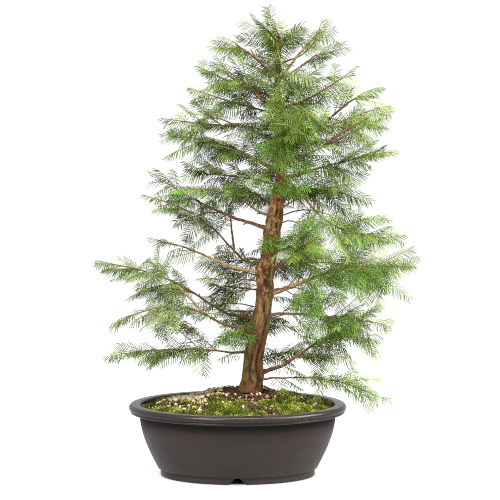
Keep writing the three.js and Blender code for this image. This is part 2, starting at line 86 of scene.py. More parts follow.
# The trunk's height, and its middle and radius there.
TRUNK = np.array([
    (GROUND - 0.006, 0.021, 0.000, 0.0169),
    (0.200, 0.0275, 0.000, 0.0156),
    (0.250, 0.038, 0.002, 0.0144),
    (0.305, 0.044, 0.004, 0.0134),
    (0.333, 0.0455, 0.003, 0.0141),
    (0.360, 0.0515, 0.001, 0.0134),
    (0.414, 0.0595, -0.002, 0.0128),
    (0.445, 0.0645, -0.003, 0.0112),
    (0.495, 0.071, 0.000, 0.0079),
    (0.580, 0.067, 0.003, 0.0057),
    (0.645, 0.064, 0.001, 0.0041),
    (0.705, 0.069, 0.000, 0.0022),
])
TRUNK_TOP = TRUNK[-1][0]
FLARE = {"lobes": 5, "depth": 0.12, "spread": 0.22, "height": 0.016}

# The main boughs, numbered from the ground up on each side, and the mass of foliage each carries.
BOUGHS = {
    "left_1": Bough(0.204, 191, 0.050, 0.000, 0.002, 0.0026, Foliage(188, 0.195, -0.005, 0.062)),
    "left_2": Bough(0.243, 193, 0.088, 0.021, 0.008, 0.0030, Foliage(200, 0.164, -0.010, 0.062)),
    "left_3": Bough(0.258, 165, 0.098, 0.027, 0.010, 0.0030, Foliage(169, 0.184, 0.059, 0.068)),
    "left_4": Bough(0.332, 193, 0.100, 0.030, 0.005, 0.0027, Foliage(195, 0.092, 0.028, 0.042)),
    "left_5": Bough(0.344, 149, 0.080, 0.036, 0.012, 0.0024, Foliage(159, 0.144, 0.072, 0.048)),
    "left_6": Bough(0.401, 173, 0.084, 0.029, 0.001, 0.0031, Foliage(176, 0.115, 0.065, 0.060)),
    "left_7": Bough(0.428, 211, 0.044, 0.013, 0.005, 0.0026, Foliage(206, 0.142, 0.031, 0.060)),
    "left_8": Bough(0.500, 149, 0.045, 0.015, 0.002, 0.0024, Foliage(163, 0.167, 0.041, 0.064)),
    "left_9": Bough(0.560, 190, 0.056, 0.010, -0.002, 0.0024, Foliage(195, 0.137, 0.014, 0.056)),
    "left_11": Bough(0.602, 206, 0.040, 0.020, 0.003, 0.0020, Foliage(214, 0.076, 0.052, 0.046)),
    "left_12": Bough(0.616, 167, 0.048, 0.014, 0.001, 0.0020, Foliage(164, 0.086, 0.038, 0.046)),
    "left_13": Bough(0.661, 185, 0.040, 0.022, 0.001, 0.0018, Foliage(181, 0.062, 0.029, 0.040)),
    "right_1": Bough(0.159, 349, 0.070, 0.003, 0.001, 0.0019, Foliage(348, 0.156, -0.035, 0.048)),
    "right_2": Bough(0.166, 12, 0.088, 0.036, 0.007, 0.0036, Foliage(13, 0.124, 0.014, 0.072)),
    "right_3": Bough(0.260, 345, 0.058, 0.006, -0.002, 0.0026, Foliage(347, 0.154, -0.013, 0.066)),
    "right_4": Bough(0.297, 7, 0.077, 0.024, 0.002, 0.0044, Foliage(8, 0.175, 0.016, 0.076)),
    "right_7": Bough(0.474, 327, 0.064, -0.034, -0.008, 0.0026, Foliage(345, 0.147, -0.044, 0.072)),
    "right_8": Bough(0.488, 8, 0.048, 0.010, 0.001, 0.0030, Foliage(7, 0.142, 0.032, 0.064)),
    "right_9": Bough(0.516, 344, 0.050, 0.012, 0.003, 0.0026, Foliage(342, 0.116, 0.056, 0.056)),
    "right_10": Bough(0.548, 32, 0.052, 0.006, 0.003, 0.0026, Foliage(23, 0.148, 0.051, 0.060)),
    "right_12": Bough(0.645, 23, 0.040, 0.021, 0.001, 0.0021, Foliage(17, 0.080, 0.035, 0.044)),
    "right_13": Bough(0.672, 346, 0.030, 0.009, 0.001, 0.0017, Foliage(356, 0.042, 0.061, 0.032)),
}

# Foliage whose own stem leaves the trunk. climb is the one that the stem sets off with.
TRUNK_FOLIAGE = {
    "front_1": Stem(0.490, 25, 0.0018, Foliage(250, 0.108, -0.004, 0.056)),
    "front_2": Stem(0.572, 25, 0.0018, Foliage(281, 0.120, -0.022, 0.060)),
    "front_3": Stem(0.655, 40, 0.0015, Foliage(262, 0.072, 0.020, 0.042)),
    "back_1": Stem(0.226, 20, 0.0026, Foliage(98, 0.188, 0.022, 0.066)),
    "back_2": Stem(0.331, 15, 0.0026, Foliage(62, 0.182, 0.026, 0.066)),
    "back_3": Stem(0.436, 20, 0.0024, Foliage(116, 0.172, 0.030, 0.062)),
    "back_4": Stem(0.545, 20, 0.0020, Foliage(79, 0.138, 0.032, 0.056)),
    "left_10": Stem(0.590, 10, 0.0019, Foliage(150, 0.168, 0.042, 0.048)),
    "right_5": Stem(0.363, 15, 0.0026, Foliage(303, 0.146, 0.030, 0.066)),
    "right_6": Stem(0.451, 25, 0.0024, Foliage(36, 0.188, -0.012, 0.060)),
    "right_11": Stem(0.597, 15, 0.0019, Foliage(342, 0.130, 0.069, 0.046)),
}
TOP_FOLIAGE = Stem(0.705, 80, 0.0019, Foliage(200, 0.028, 0.055, 0.046))

# Lesser branches: the bough or trunk that carries each, and where (a height on the trunk, 0 to 1 on a
# bough and 1 to 2 on its foliage's stem), its heading, climb, length, radius, tip radius and bark, and
# from what share of it twigs grow.
BRANCHES = [Branch(*row) for row in (
    ("left_5", 0.78, 110, 68, 0.080, 0.0019, 0.0009, "bough", 0.5),
    ("left_5", 0.50, 200, 64, 0.024, 0.0017, 0.0012, "bough", 1.0),
    ("trunk", 0.430, 352, 34, 0.040, 0.0018, 0.0011, "pale", 0.7),
    ("trunk", 0.316, 186, 4, 0.084, 0.0013, 0.0007, "bough", 0.45),
    ("left_1", 1.08, 166, 36, 0.056, 0.0011, 0.0008, "pale", 0.6),
    ("left_1", 1.24, 160, 40, 0.048, 0.0010, 0.0007, "pale", 0.5),
    ("trunk", 0.266, 190, 2, 0.070, 0.0018, 0.0010, "dark", 0.75),
    ("left_2", 1.05, 196, 46, 0.066, 0.0019, 0.0014, "pale", 0.45),
    ("left_3", 1.10, 190, 10, 0.060, 0.0011, 0.0008, "dark", 0.5),
    ("right_7", 1.04, 255, -48, 0.036, 0.0012, 0.0009, "bough", 0.8),
    ("right_4", 1.32, 335, -14, 0.046, 0.0011, 0.0008, "dark", 0.7),
    ("right_7", 1.42, 330, 24, 0.036, 0.0011, 0.0008, "bough", 0.8),
    ("trunk", 0.264, 340, -26, 0.078, 0.0011, 0.0006, "bough", 0.6),
    ("right_8", 1.74, 355, 34, 0.030, 0.0013, 0.0009, "bough", 1.0),
    ("right_10", 1.15, 347, 41, 0.086, 0.0025, 0.0012, "bough", 0.4),
    ("right_9", 1.20, 346, 33, 0.080, 0.0024, 0.0012, "bough", 0.4),
    ("right_12", 1.05, 350, 34, 0.034, 0.0014, 0.0009, "pale", 0.6),
    ("left_12", 1.10, 200, 34, 0.050, 0.0014, 0.0009, "bough", 0.6),
    ("left_9", 1.12, 222, 16, 0.060, 0.0012, 0.0008, "bough", 0.4),
    ("left_6", 1.00, 214, -4, 0.050, 0.0013, 0.0008, "dark", 0.5),
    ("right_2", 0.80, 330, 10, 0.056, 0.0014, 0.0008, "bough", 0.4),
    ("trunk", 0.628, 215, 48, 0.046, 0.0014, 0.0010, "bough", 0.7),
    ("trunk", 0.648, 196, 38, 0.090, 0.0024, 0.0013, "bough", 0.55),
    ("trunk", 0.640, 338, 48, 0.116, 0.0026, 0.0011, "pale", 0.4),
    ("trunk", 0.490, 202, 27, 0.100, 0.0026, 0.0011, "bough", 0.42),
    ("trunk", 0.474, 190, 9, 0.122, 0.0015, 0.0009, "dark", 0.3),
    ("trunk", 0.586, 206, 42, 0.094, 0.0020, 0.0010, "bough", 0.5),
    ("trunk", 0.186, 38, 8, 0.070, 0.0011, 0.0008, "dark", 0.2),
    ("trunk", 0.180, 26, 14, 0.066, 0.0010, 0.0007, "dark", 0.15),
    ("trunk", 0.300, 158, 4, 0.084, 0.0011, 0.0008, "dark", 0.2),
    ("trunk", 0.352, 152, -4, 0.070, 0.0011, 0.0008, "dark", 0.25),
    ("trunk", 0.272, 146, 4, 0.074, 0.0011, 0.0008, "dark", 0.25),
    ("trunk", 0.322, 176, 14, 0.076, 0.0011, 0.0008, "dark", 0.25),
    ("trunk", 0.306, 200, -8, 0.070, 0.0011, 0.0008, "dark", 0.3),
)]

# Fans of sprays that hang towards the front: where, from the pot's middle, and how long.
FANS = [
    ((0.074, -0.058, 0.553), 0.046), ((0.088, -0.056, 0.520), 0.040), ((0.104, -0.050, 0.412), 0.046),
    ((0.052, -0.030, 0.387), 0.022), ((0.088, -0.045, 0.302), 0.044), ((0.196, -0.055, 0.345), 0.054),
    ((0.130, -0.062, 0.345), 0.052), ((0.010, -0.030, 0.266), 0.028), ((-0.006, -0.032, 0.240), 0.034),
    ((0.106, -0.060, 0.600), 0.050), ((0.150, -0.058, 0.430), 0.052), ((0.060, -0.052, 0.482), 0.028),
    ((0.088, -0.052, 0.480), 0.028), ((0.064, -0.046, 0.690), 0.044), ((0.080, -0.050, 0.655), 0.046),
    ((0.060, -0.052, 0.618), 0.046), ((0.054, -0.056, 0.530), 0.040),
    ((0.122, -0.050, 0.304), 0.046), ((0.152, -0.050, 0.262), 0.046),
    ((0.078, -0.056, 0.588), 0.044),
]

# Where no spray grows, picked out in the photo and given in metres with the fitted camera, on
# the upright plane through the pot's middle as the camera sees it. Gaps where the sky shows: the
# middle's place to the right and up, and half the width and height.
SKY = np.array([
    (0.015, 0.426, 0.021, 0.022), (-0.058, 0.310, 0.019, 0.011), (0.160, 0.280, 0.010, 0.013),
    (0.075, 0.227, 0.026, 0.019), (0.147, 0.405, 0.010, 0.008), (0.095, 0.687, 0.010, 0.010),
    (-0.171, 0.279, 0.026, 0.008), (-0.155, 0.233, 0.044, 0.010), (0.246, 0.293, 0.012, 0.010),
    (0.263, 0.421, 0.018, 0.018), (0.221, 0.480, 0.022, 0.011), (-0.114, 0.405, 0.030, 0.013),
    (-0.134, 0.532, 0.022, 0.014), (0.202, 0.694, 0.022, 0.030), (-0.056, 0.703, 0.016, 0.026),
    (-0.080, 0.168, 0.120, 0.012), (0.170, 0.745, 0.030, 0.022), (-0.198, 0.384, 0.022, 0.014),
    (0.162, 0.118, 0.040, 0.016), (-0.025, 0.738, 0.034, 0.018), (0.126, 0.752, 0.024, 0.015),
])

# Stretches of the trunk that stay bare, found in the same way: from what height to what height.
BARE_TRUNK = [(0.486, 0.510), (0.400, 0.455), (0.272, 0.368), (0.140, 0.216)]

# Long sprays round the tip: their heading, climb and length.
CROWN_TIPS = [(196, 50, 0.072), (182, 32, 0.064), (222, 66, 0.056),
              (345, 56, 0.050), (325, 30, 0.054), (240, 18, 0.052)]

BOUGH_TIP = 0.62  # a bough's tip, as a share of its radius
BOUGH_SWELL, BOUGH_SWELL_LENGTH = 0.5, 0.005  # how much it thickens at the trunk, and over what length
STEM_SET_OFF = 0.45  # how long a stem keeps its first heading, as a share of its length
LAST_LENGTH, LAST_SHARES = 0.040, (0.24, 0.6)  # of a mass's last spray, and what share of the stem it may be

# The CAD source's rule for the side shoots of a mass.
GROWTH = {
    "seed": 2311, "pitch": 0.0143, "pitch_play": 0.3, "first": 0.12, "end_free": 0.02,
    "forward": 50, "forward_play": 16, "roll": 25, "roll_play": 62,
    "end_reach": 0.85, "belly": 0.3, "reach_play": 0.2,
}

# How far the camera is, how high it is, how high it looks, how far to the right it is, and its lens.
CAMERA = {"distance": 3.2, "height": 0.6432, "look": 0.3695, "aside": 0.0202, "lens": 142.1}

UP = np.array([0.0, 0.0, 1.0])
rng = np.random.default_rng(GROWTH["seed"])
noise.seed_set(GROWTH["seed"])  # without it, noise_vector differs from run to run

# ---------------------------------------------------------------- small maths


def lerp(a, b, share):
    return a + (b - a) * share


def unit(v):
    return v / np.maximum(np.linalg.norm(v, axis=-1, keepdims=True), 1e-12)


def compass(heading, climb=0.0):
    turn, lift = math.radians(heading), math.radians(climb)
    return np.array([math.cos(lift) * math.cos(turn), math.cos(lift) * math.sin(turn), math.sin(lift)])


def turned(v, axis, angle):
    """v turned about a unit axis, in radians."""
    along = axis * np.dot(axis, v)
    return along + (v - along) * math.cos(angle) + np.cross(axis, v) * math.sin(angle)


def leaning(tangent, outward, angle):
    """A heading that leans from a tangent towards a unit vector across it, in radians."""
    return tangent * math.cos(angle) + outward * math.sin(angle)


def level_across(heading):
    return unit(np.cross(UP, heading))


def random_angle(mean, play):
    """An angle round a mean, both in degrees, as radians."""
    return math.radians(mean + rng.normal(0, play))


def full_turn(count):
    return np.arange(count) * 2 * np.pi / count


def noise_at(points, scale=1.0):
    return np.array([noise.noise(Vector(p) * scale) for p in points])


def layered_noise_at(points, scale=1.0, octaves=3):
    return np.array([noise.fractal(Vector(p) * scale, 1.0, 2.0, octaves) for p in points])


def drift_at(points, scale):
    """How noise pushes each point sideways and up."""
    return np.array([noise.noise_vector(Vector(p) * scale) for p in points])


def slice_points(x, y, scale, level):
    """Points of one level slice of a noise."""
    return np.column_stack([x * scale, y * scale, np.full_like(x, level)])


def seeded(seed):
    """The CAD source's own run of numbers from 0 to 1."""
    mask = 0xFFFFFFFF
    state = seed & mask

    def draw():
        nonlocal state
        state = (state + 0x6D2B79F5) & mask
        mixed = ((state ^ (state >> 15)) * (1 | state)) & mask
        mixed = (mixed + (((mixed ^ (mixed >> 7)) * (61 | mixed)) & mask) & mask) ^ mixed
        return (mixed ^ (mixed >> 14)) / 4294967296

    return draw


class Bezier:
    """A quadratic curve, as the CAD source's stems and boughs are."""

    def __init__(self, start, middle, end):
        self.start, self.middle, self.end = start, middle, end

    def at(self, t):
        t = np.asarray(t, float)[..., None]
        return (1 - t) ** 2 * self.start + 2 * t * (1 - t) * self.middle + t**2 * self.end

    def tangent(self, t):
        t = np.asarray(t, float)[..., None]
        return unit((1 - t) * (self.middle - self.start) + t * (self.end - self.middle))

    def length(self):
        return np.linalg.norm(np.diff(self.at(np.linspace(0, 1, 201)), axis=0), axis=1).sum()


def trunk_at(height):
    """The trunk's middle and radius at a height."""
    x, y, radius = (np.interp(height, TRUNK[:, 0], TRUNK[:, k]) for k in (1, 2, 3))
    return np.array([x, y, height]), radius


def trunk_beside(place):
    return trunk_at(min(max(place[2], GROUND), TRUNK_TOP))


def bough_curve(bough):
    start = trunk_at(bough.height)[0]
    end = start + compass(bough.heading) * bough.reach + UP * bough.rise
    return Bezier(start, (start + end) / 2 - UP * 2 * bough.sag, end)


def stem_curve(start, set_off, foliage):
    end = start + compass(foliage.heading) * foliage.length + UP * foliage.rise
    return Bezier(start, start + set_off * STEM_SET_OFF * np.linalg.norm(end - start), end)


def stem_end(curve):
    """The share of a stem where its wood ends and its last spray starts."""
    share = LAST_LENGTH / np.linalg.norm(curve.end - curve.start)
    return 1 - min(max(share, LAST_SHARES[0]), LAST_SHARES[1])


# ---------------------------------------------------------------- meshes


def linked(made):
    bpy.context.scene.collection.objects.link(made)
    return made


class Soup:
    """Triangles gathered for one joined mesh, each with the number of its material."""

    def __init__(self):
        self.points, self.faces, self.slots, self.count, self.triangles = [], [], [], 0, 0

    def add(self, points, faces, slot=0):
        self.points.append(points)
        self.faces.append(faces + self.count)
        self.slots.append(np.broadcast_to(slot, len(faces)).astype(np.int32))
        self.count += len(points)
        self.triangles += len(faces)

    def piece(self, name, materials, smooth=False):
        points = np.concatenate(self.points) + MIDDLE
        faces = np.concatenate(self.faces)
        mesh = bpy.data.meshes.new(name)
        mesh.vertices.add(len(points))
        mesh.vertices.foreach_set("co", points.astype(np.float32).ravel())
        mesh.loops.add(faces.size)
        mesh.loops.foreach_set("vertex_index", faces.astype(np.int32).ravel())
        mesh.polygons.add(len(faces))
        mesh.polygons.foreach_set("loop_start", np.arange(0, faces.size, 3, dtype=np.int32))
        mesh.polygons.foreach_set("material_index", np.concatenate(self.slots))
        mesh.polygons.foreach_set("use_smooth", np.full(len(faces), smooth))
        for material in materials:
            mesh.materials.append(material)
        mesh.update(calc_edges=True)
        mesh.validate()
        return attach(linked(bpy.data.objects.new(name, mesh)), "root")


def piece_of(points, faces, name, material):
    """A smooth piece of one material."""
    soup = Soup()
    soup.add(points, faces)
    return soup.piece(name, [material], smooth=True)


def grid_faces(rows, columns, joined=True):
    """The triangles of a net of points whose rows are joined end to end, or open."""
    i, j = np.meshgrid(np.arange(rows - 1), np.arange(columns if joined else columns - 1), indexing="ij")
    a, b = i * columns + j, i * columns + (j + 1) % columns
    c, d = a + columns, b + columns
    return np.stack([np.stack([a, b, d], -1), np.stack([a, d, c], -1)], 2).reshape(-1, 3)


def closed(shell, columns, first_end, last_end):
    """A joined net of points, closed round one more point at each end."""
    rows, j = len(shell) // columns, np.arange(columns)
    beside, last_row = (j + 1) % columns, len(shell) - columns
    caps = [np.stack([np.full(columns, len(shell)), beside, j], -1),
            np.stack([np.full(columns, len(shell) + 1), last_row + j, last_row + beside], -1)]
    return np.concatenate([shell, [first_end, last_end]]), np.concatenate([grid_faces(rows, columns), *caps])


def frames_along(points):
    """Two unit vectors across a line of points at each of them, turning as little as they can."""
    tangents = unit(np.gradient(points, axis=0))
    side = np.cross(tangents[0], UP if abs(tangents[0][2]) < 0.9 else np.array([1.0, 0, 0]))
    sides = []
    for tangent in tangents:
        side = unit(side - tangent * np.dot(side, tangent))
        sides.append(side)
    sides = np.array(sides)
    return sides, np.cross(tangents, sides)


def ring_directions(points, sides):
    """The unit vectors from each point of a line to the corners of a ring round it."""
    across, beside = frames_along(points)
    angles = full_turn(sides)[:, None]
    return across[:, None] * np.cos(angles) + beside[:, None] * np.sin(angles)


def tube(points, radii, sides):
    """A closed tube along points. radii has one row per point, and one column, or one per side."""
    radii = np.asarray(radii, float).reshape(len(points), -1, 1)
    shell = (points[:, None] + ring_directions(points, sides) * radii).reshape(-1, 3)
    return closed(shell, sides, points[0], points[-1])


# ---------------------------------------------------------------- materials


def new_material(name, colour=(0.5, 0.5, 0.5), roughness=0.6, specular=0.4):
    """A plain Principled material. Colours are linear."""
    made = bpy.data.materials.new(name)
    made.use_nodes = True
    shader = made.node_tree.nodes["Principled BSDF"]
    shader.inputs["Base Color"].default_value = (*colour, 1)
    shader.inputs["Roughness"].default_value = roughness
    shader.inputs["Specular IOR Level"].default_value = specular
    return made


def palette(name, colours, roughness, specular):
    """Plain materials of one finish, numbered from 0."""
    return [new_material(f"{name}_{k}", colour, roughness, specular) for k, colour in enumerate(colours)]


def srgb(r, g, b):
    """A colour given in 0 to 255, made linear."""
    return tuple((c / 255 / 12.92) if c <= 10 else ((c / 255 + 0.055) / 1.055) ** 2.4 for c in (r, g, b))


def grey(value):
    return (value, value, value)


class Weave:
    """Short calls that build a material's nodes."""

    def __init__(self, material):
        self.tree = material.node_tree
        self.shader = self.tree.nodes["Principled BSDF"]
        self.place = self.tree.nodes.new("ShaderNodeTexCoord").outputs["Object"]

    def new(self, kind, **inputs):
        made = self.tree.nodes.new("ShaderNode" + kind)
        for name, value in inputs.items():
            self.set(made.inputs[name.replace("_", " ")], value)
        return made

    def set(self, socket, value):
        if isinstance(value, bpy.types.NodeSocket):
            self.tree.links.new(value, socket)
        else:
            socket.default_value = value

    def level(self):
        return self.new("SeparateXYZ", Vector=self.place).outputs["Z"]

    def stretched(self, x, y, z):
        return self.new("Mapping", Vector=self.place, Scale=(x, y, z)).outputs["Vector"]

    def noise(self, scale, detail=4.0, roughness=0.55, where=None):
        made = self.new("TexNoise", Vector=where or self.place, Scale=scale, Detail=detail)
        made.inputs["Roughness"].default_value = roughness
        return made.outputs["Fac"]

    def ramp(self, factor, *stops):
        made = self.new("ValToRGB", Fac=factor)
        ramp = made.color_ramp
        while len(ramp.elements) < len(stops):
            ramp.elements.new(0.5)
        for element, (position, colour) in zip(ramp.elements, stops):
            element.position = position
            element.color = (*colour, 1)
        return made.outputs["Color"]

    def greys(self, factor, *stops):
        """A ramp of greys: positions and values."""
        return self.ramp(factor, *((position, grey(value)) for position, value in stops))

    def mix(self, factor, a, b, blend="MIX"):
        made = self.tree.nodes.new("ShaderNodeMix")
        made.data_type, made.blend_type = "RGBA", blend
        for name, value in (("Factor", factor), ("A", a), ("B", b)):
            sockets = [s for s in made.inputs if s.name == name and s.enabled]
            self.set(sockets[0], (*value, 1) if isinstance(value, tuple) else value)
        return next(s for s in made.outputs if s.enabled)

    def shaded(self, colour, shade):
        return self.mix(1.0, colour, shade, "MULTIPLY")

    def math(self, operation, a, b):
        made = self.tree.nodes.new("ShaderNodeMath")
        made.operation = operation
        self.set(made.inputs[0], a)
        self.set(made.inputs[1], b)
        return made.outputs["Value"]

    def times(self, a, b):
        return self.math("MULTIPLY", a, b)

    def plus(self, a, b):
        return self.math("ADD", a, b)

    def range(self, value, low, high):
        return self.new("MapRange", Value=value, From_Min=low, From_Max=high).outputs["Result"]

    def attribute(self, name):
        made = self.tree.nodes.new("ShaderNodeAttribute")
        made.attribute_name = name
        return made.outputs["Fac"]

    def bump(self, height, distance, strength=1.0):
        made = self.new("Bump", Height=height, Distance=distance, Strength=strength)
        self.tree.links.new(made.outputs["Normal"], self.shader.inputs["Normal"])

    def finish(self, colour, roughness=None):
        self.set(self.shader.inputs["Base Color"], colour)
        if roughness is not None:
            self.set(self.shader.inputs["Roughness"], roughness)


def plastic_material():
    """Satin plastic: painted shade under the lip, where it is also duller, and lighter lower down in streaks.
    """
    made = new_material("pot_plastic", roughness=0.42, specular=0.32)
    weave = Weave(made)
    clouds = weave.noise(9, 5)
    streaks = weave.noise(30, 4, where=weave.stretched(0.25, 0.25, 1.6))
    up = weave.range(weave.level(), 0.0, POT_HEIGHT - UNDER_LIP)
    colour = weave.ramp(clouds, (0.3, srgb(31, 23, 20)), (0.7, srgb(41, 31, 28)))
    # Lighter towards the bottom, in streaks.
    lighter_low = weave.times(weave.greys(up, (0.0, 0.5), (0.5, 0.2), (0.9, 0)),
                       weave.greys(streaks, (0.4, 0.3), (0.75, 1)))
    colour = weave.mix(lighter_low, colour, srgb(68, 58, 52))
    # Painted shade under the lip: the colour is multiplied darker just below it.
    colour = weave.shaded(colour, weave.greys(up, (0.84, 1), (0.94, 0.12), (0.995, 0.02), (1.0, 1)))
    dull = weave.greys(up, (0.7, 0.14), (0.93, 0.52), (0.995, 0.52), (1.0, 0))
    weave.finish(colour, weave.plus(weave.greys(clouds, (0.3, 0.26), (0.75, 0.38)), dull))
    waves = weave.noise(13, 2, where=weave.stretched(1, 1, 1.8))
    weave.bump(weave.plus(waves, weave.times(weave.noise(900, 2), 0.001)), 0.006, 0.38)
    return made


def bark_scales(weave):
    """Rounded flakes with wavy edges: low in a flake's middle and high at its edge."""
    ripples = weave.new("TexNoise", Vector=weave.place, Scale=150.0, Detail=2.0).outputs["Color"]
    ripples = weave.new("Mapping", Vector=ripples, Scale=grey(0.009)).outputs["Vector"]
    bent = weave.new("VectorMath", Vector=weave.stretched(1, 1, 0.62))
    bent.operation = "ADD"
    weave.set(bent.inputs[1], ripples)
    return weave.new("TexVoronoi", Vector=bent.outputs["Vector"], Scale=170.0).outputs["Distance"]


def bark_material():
    """Flaking bark: dark in its furrows, with painted shade deeper in them, red-brown and olive on its
    flanks, tan on its flakes.
    """
    made = new_material("bark", roughness=0.85, specular=0.2)
    weave = Weave(made)
    fibres = weave.noise(300, 6, 0.7, where=weave.stretched(1, 1, 0.16))
    scales = bark_scales(weave)
    patches = weave.noise(34, 3, 0.6, where=weave.stretched(1, 1, 0.45))
    relief, flaky = weave.attribute("relief"), weave.attribute("blister")
    height = weave.plus(weave.times(relief, 0.68), weave.times(fibres, 0.5))
    colour = weave.ramp(height, (0.34, srgb(23, 16, 9)), (0.52, srgb(61, 44, 26)),
                        (0.72, srgb(97, 75, 46)), (0.95, srgb(150, 121, 82)))
    colour = weave.mix(weave.greys(patches, (0.44, 0), (0.60, 0.68)), colour, srgb(116, 62, 42))
    # Painted shade in the furrows: the colour is darkened where the relief is low.
    colour = weave.shaded(colour, weave.greys(relief, (0.18, 0.25), (0.5, 1)))
    ochre = weave.greys(weave.noise(55, 3, 0.6), (0.48, 0), (0.64, 0.6))
    colour = weave.mix(ochre, colour, srgb(146, 108, 54))
    pale = weave.times(weave.greys(scales, (0.10, 0.85), (0.50, 0)),
                       weave.greys(weave.noise(120, 3), (0.36, 0), (0.48, 1)))
    colour = weave.mix(weave.times(pale, flaky), colour, srgb(214, 168, 118))
    cracks = weave.greys(scales, (0.58, 0), (0.80, 0.8))
    colour = weave.mix(weave.times(cracks, flaky), colour, srgb(44, 27, 18))
    green = weave.times(weave.attribute("algae"), weave.noise(60, 4))
    colour = weave.mix(green, colour, srgb(104, 98, 40))
    colour = weave.mix(weave.attribute("groove"), colour, srgb(66, 32, 24))
    # Darker towards the trunk's foot.
    darker_at_foot = weave.greys(weave.range(weave.level(), GROUND, GROUND + DARKER_FOOT_HEIGHT), (0.0, 0.74), (1.0, 1))
    weave.finish(weave.shaded(colour, darker_at_foot))
    plates = weave.times(weave.times(scales, flaky), 0.7)
    weave.bump(weave.math("SUBTRACT", height, plates), 0.0020)
    return made


def speckled_material(name, surface, fine, stops, coarse, spots, bump):
    """A fine grain of several colours, with coarse spots of one colour over it.

    surface is a roughness and specular level, fine and coarse are noises, and bump is the grain's depth
    and strength. spots says where the coarse noise starts to show and shows most, how much, and in
    what colour.
    """
    made = new_material(name, roughness=surface[0], specular=surface[1])
    weave = Weave(made)
    grain = weave.noise(*fine)
    start, full, most, colour = spots
    cover = weave.greys(weave.noise(*coarse), (start, 0), (full, most))
    weave.finish(weave.mix(cover, weave.ramp(grain, *stops), colour))
    weave.bump(grain, *bump)
    return made


def bough_material(name, dark, light):
    return speckled_material(name, (0.7, 0.3), (320, 4, 0.6), ((0.3, dark), (0.68, light)),
                             (70, 3), (0.5, 0.75, 0.5, dark), (0.0004, 0.7))


def soil_material():
    stops = (0.35, srgb(24, 17, 11)), (0.55, srgb(66, 48, 32)), (0.75, srgb(122, 96, 66))
    return speckled_material("damp_soil", (0.95, 0.2), (420, 5, 0.7), stops,
                             (70, 4), (0.4, 0.6, 0.5, srgb(48, 35, 23)), (0.0015, 0.9))


def moss_material():
    stops = (0.32, srgb(26, 24, 8)), (0.55, srgb(72, 78, 18)), (0.75, srgb(122, 130, 34))
    return speckled_material("moss_mat", (0.95, 0.15), (300, 4, 0.7), stops,
                             (38, 3), (0.42, 0.62, 0.8, srgb(46, 36, 20)), (0.002, 0.9))


# ---------------------------------------------------------------- pot

POT_SEGMENTS = 192
POT_DEPTH_LEAST = 0.4  # depth over width near a ring's middle
UNDER_LIP = 0.0155  # how far below the rim the shadow under the lip ends
LIP_FOOT = POT_HEIGHT - 0.0145  # where the wall meets the lip
WALL_FOOT = 0.0112  # where the wall meets the foot ring
WALL = (RIM_HALF_WIDTH - 0.048, RIM_HALF_WIDTH - 0.0175)  # its half-width at the foot and under the lip
RING, RING_WIDTH = RIM_HALF_WIDTH - 0.0515, 0.008  # the foot ring's outer half-width, and its own width
RING_EDGES = 0.0006, 0.0012  # the radii of its inner and outer edge
BEAD, ROLL, THROAT_ROLL = 0.0018, 0.0062, 0.0032  # radii of the lip, from its lower edge to its inner one
THROAT = RIM_HALF_WIDTH - 0.019
THICKNESS, INNER_FLOOR = 0.0035, WALL_FOOT + 0.004
NOTCH = {"foot": 0.0128, "splay": 0.004, "top": 0.0034, "height": 0.0104, "edge": 0.0012,
         "half_depth": 0.016}


def oval(points):
    """Rings of a lathe turned into ovals of the same width."""
    radius = np.hypot(points[..., 0], points[..., 1])
    depth = np.maximum(radius - OVAL_BY, radius * POT_DEPTH_LEAST)
    made = points.copy()
    made[..., 1] *= depth / np.maximum(radius, 1e-9)
    return made


def arc(centre, radius, start, end, steps):
    """Points of a profile round a centre, from one angle to another in degrees."""
    return [
        (centre[0] + radius * math.cos(a), centre[1] + radius * math.sin(a))
        for a in np.radians(np.linspace(start, end, steps + 1))
    ]


def wall_half_width(share):
    """The wall's outer half-width: share 0 at its foot and 1 under the lip."""
    return lerp(*WALL, math.sin(share * math.pi / 2))


def foot_section():
    """From the underside's middle over the foot ring to the wall."""
    inner, (small, large) = RING - RING_WIDTH, RING_EDGES
    return [(0.0, WALL_FOOT), (inner, WALL_FOOT), (inner, small),
            *arc((inner + small, small), small, 180, 270, 3),
            *arc((RING - large, large), large, 270, 360, 4),
            (RING, WALL_FOOT - 0.0012), (RING - 0.0005, WALL_FOOT - 0.0004), (RING + 0.001, WALL_FOOT)]


def wall_section():
    """Up the outside of the wall, with a rounded foot."""
    wall = [(wall_half_width(s), lerp(WALL_FOOT, LIP_FOOT, s)) for s in np.linspace(0, 1, 26)]
    wall[0] = (wall[0][0] - 0.0012, WALL_FOOT + 0.0001)
    wall.insert(1, (wall_half_width(0.012), WALL_FOOT + 0.0014))
    return wall


def lip_section():
    """Round the lip's lower edge, up its face and over its roll into the throat."""
    rim, top = RIM_HALF_WIDTH, POT_HEIGHT
    return [(rim - 0.0070, LIP_FOOT), *arc((rim - 0.0042, LIP_FOOT + BEAD), BEAD, -90, 60, 8),
            (rim - 0.0034, LIP_FOOT + 0.0040), (rim - 0.0016, LIP_FOOT + 0.0050),
            *arc((rim - ROLL, top - ROLL), ROLL, -25, 90, 12),
            (THROAT + 0.0045, top),
            *arc((THROAT + THROAT_ROLL, top - THROAT_ROLL), THROAT_ROLL, 95, 180, 6)]


def inside_section():
    """Down the inside of the wall to the floor's middle."""
    wall = [(wall_half_width(s) - THICKNESS, lerp(INNER_FLOOR, LIP_FOOT, s)) for s in np.linspace(1, 0, 12)]
    return [*wall, (0.0, INNER_FLOOR)]


def lathe(profile, segments):
    """A closed solid whose profile starts and ends on the axis."""
    angles = full_turn(segments)
    body = profile[1:-1]
    x = body[:, :1] * np.cos(angles)
    y = body[:, :1] * np.sin(angles)
    z = np.repeat(body[:, 1:], segments, axis=1)
    points = oval(np.stack([x, y, z], -1)).reshape(-1, 3)
    return closed(points, segments, (0, 0, profile[0][1]), (0, 0, profile[-1][1]))


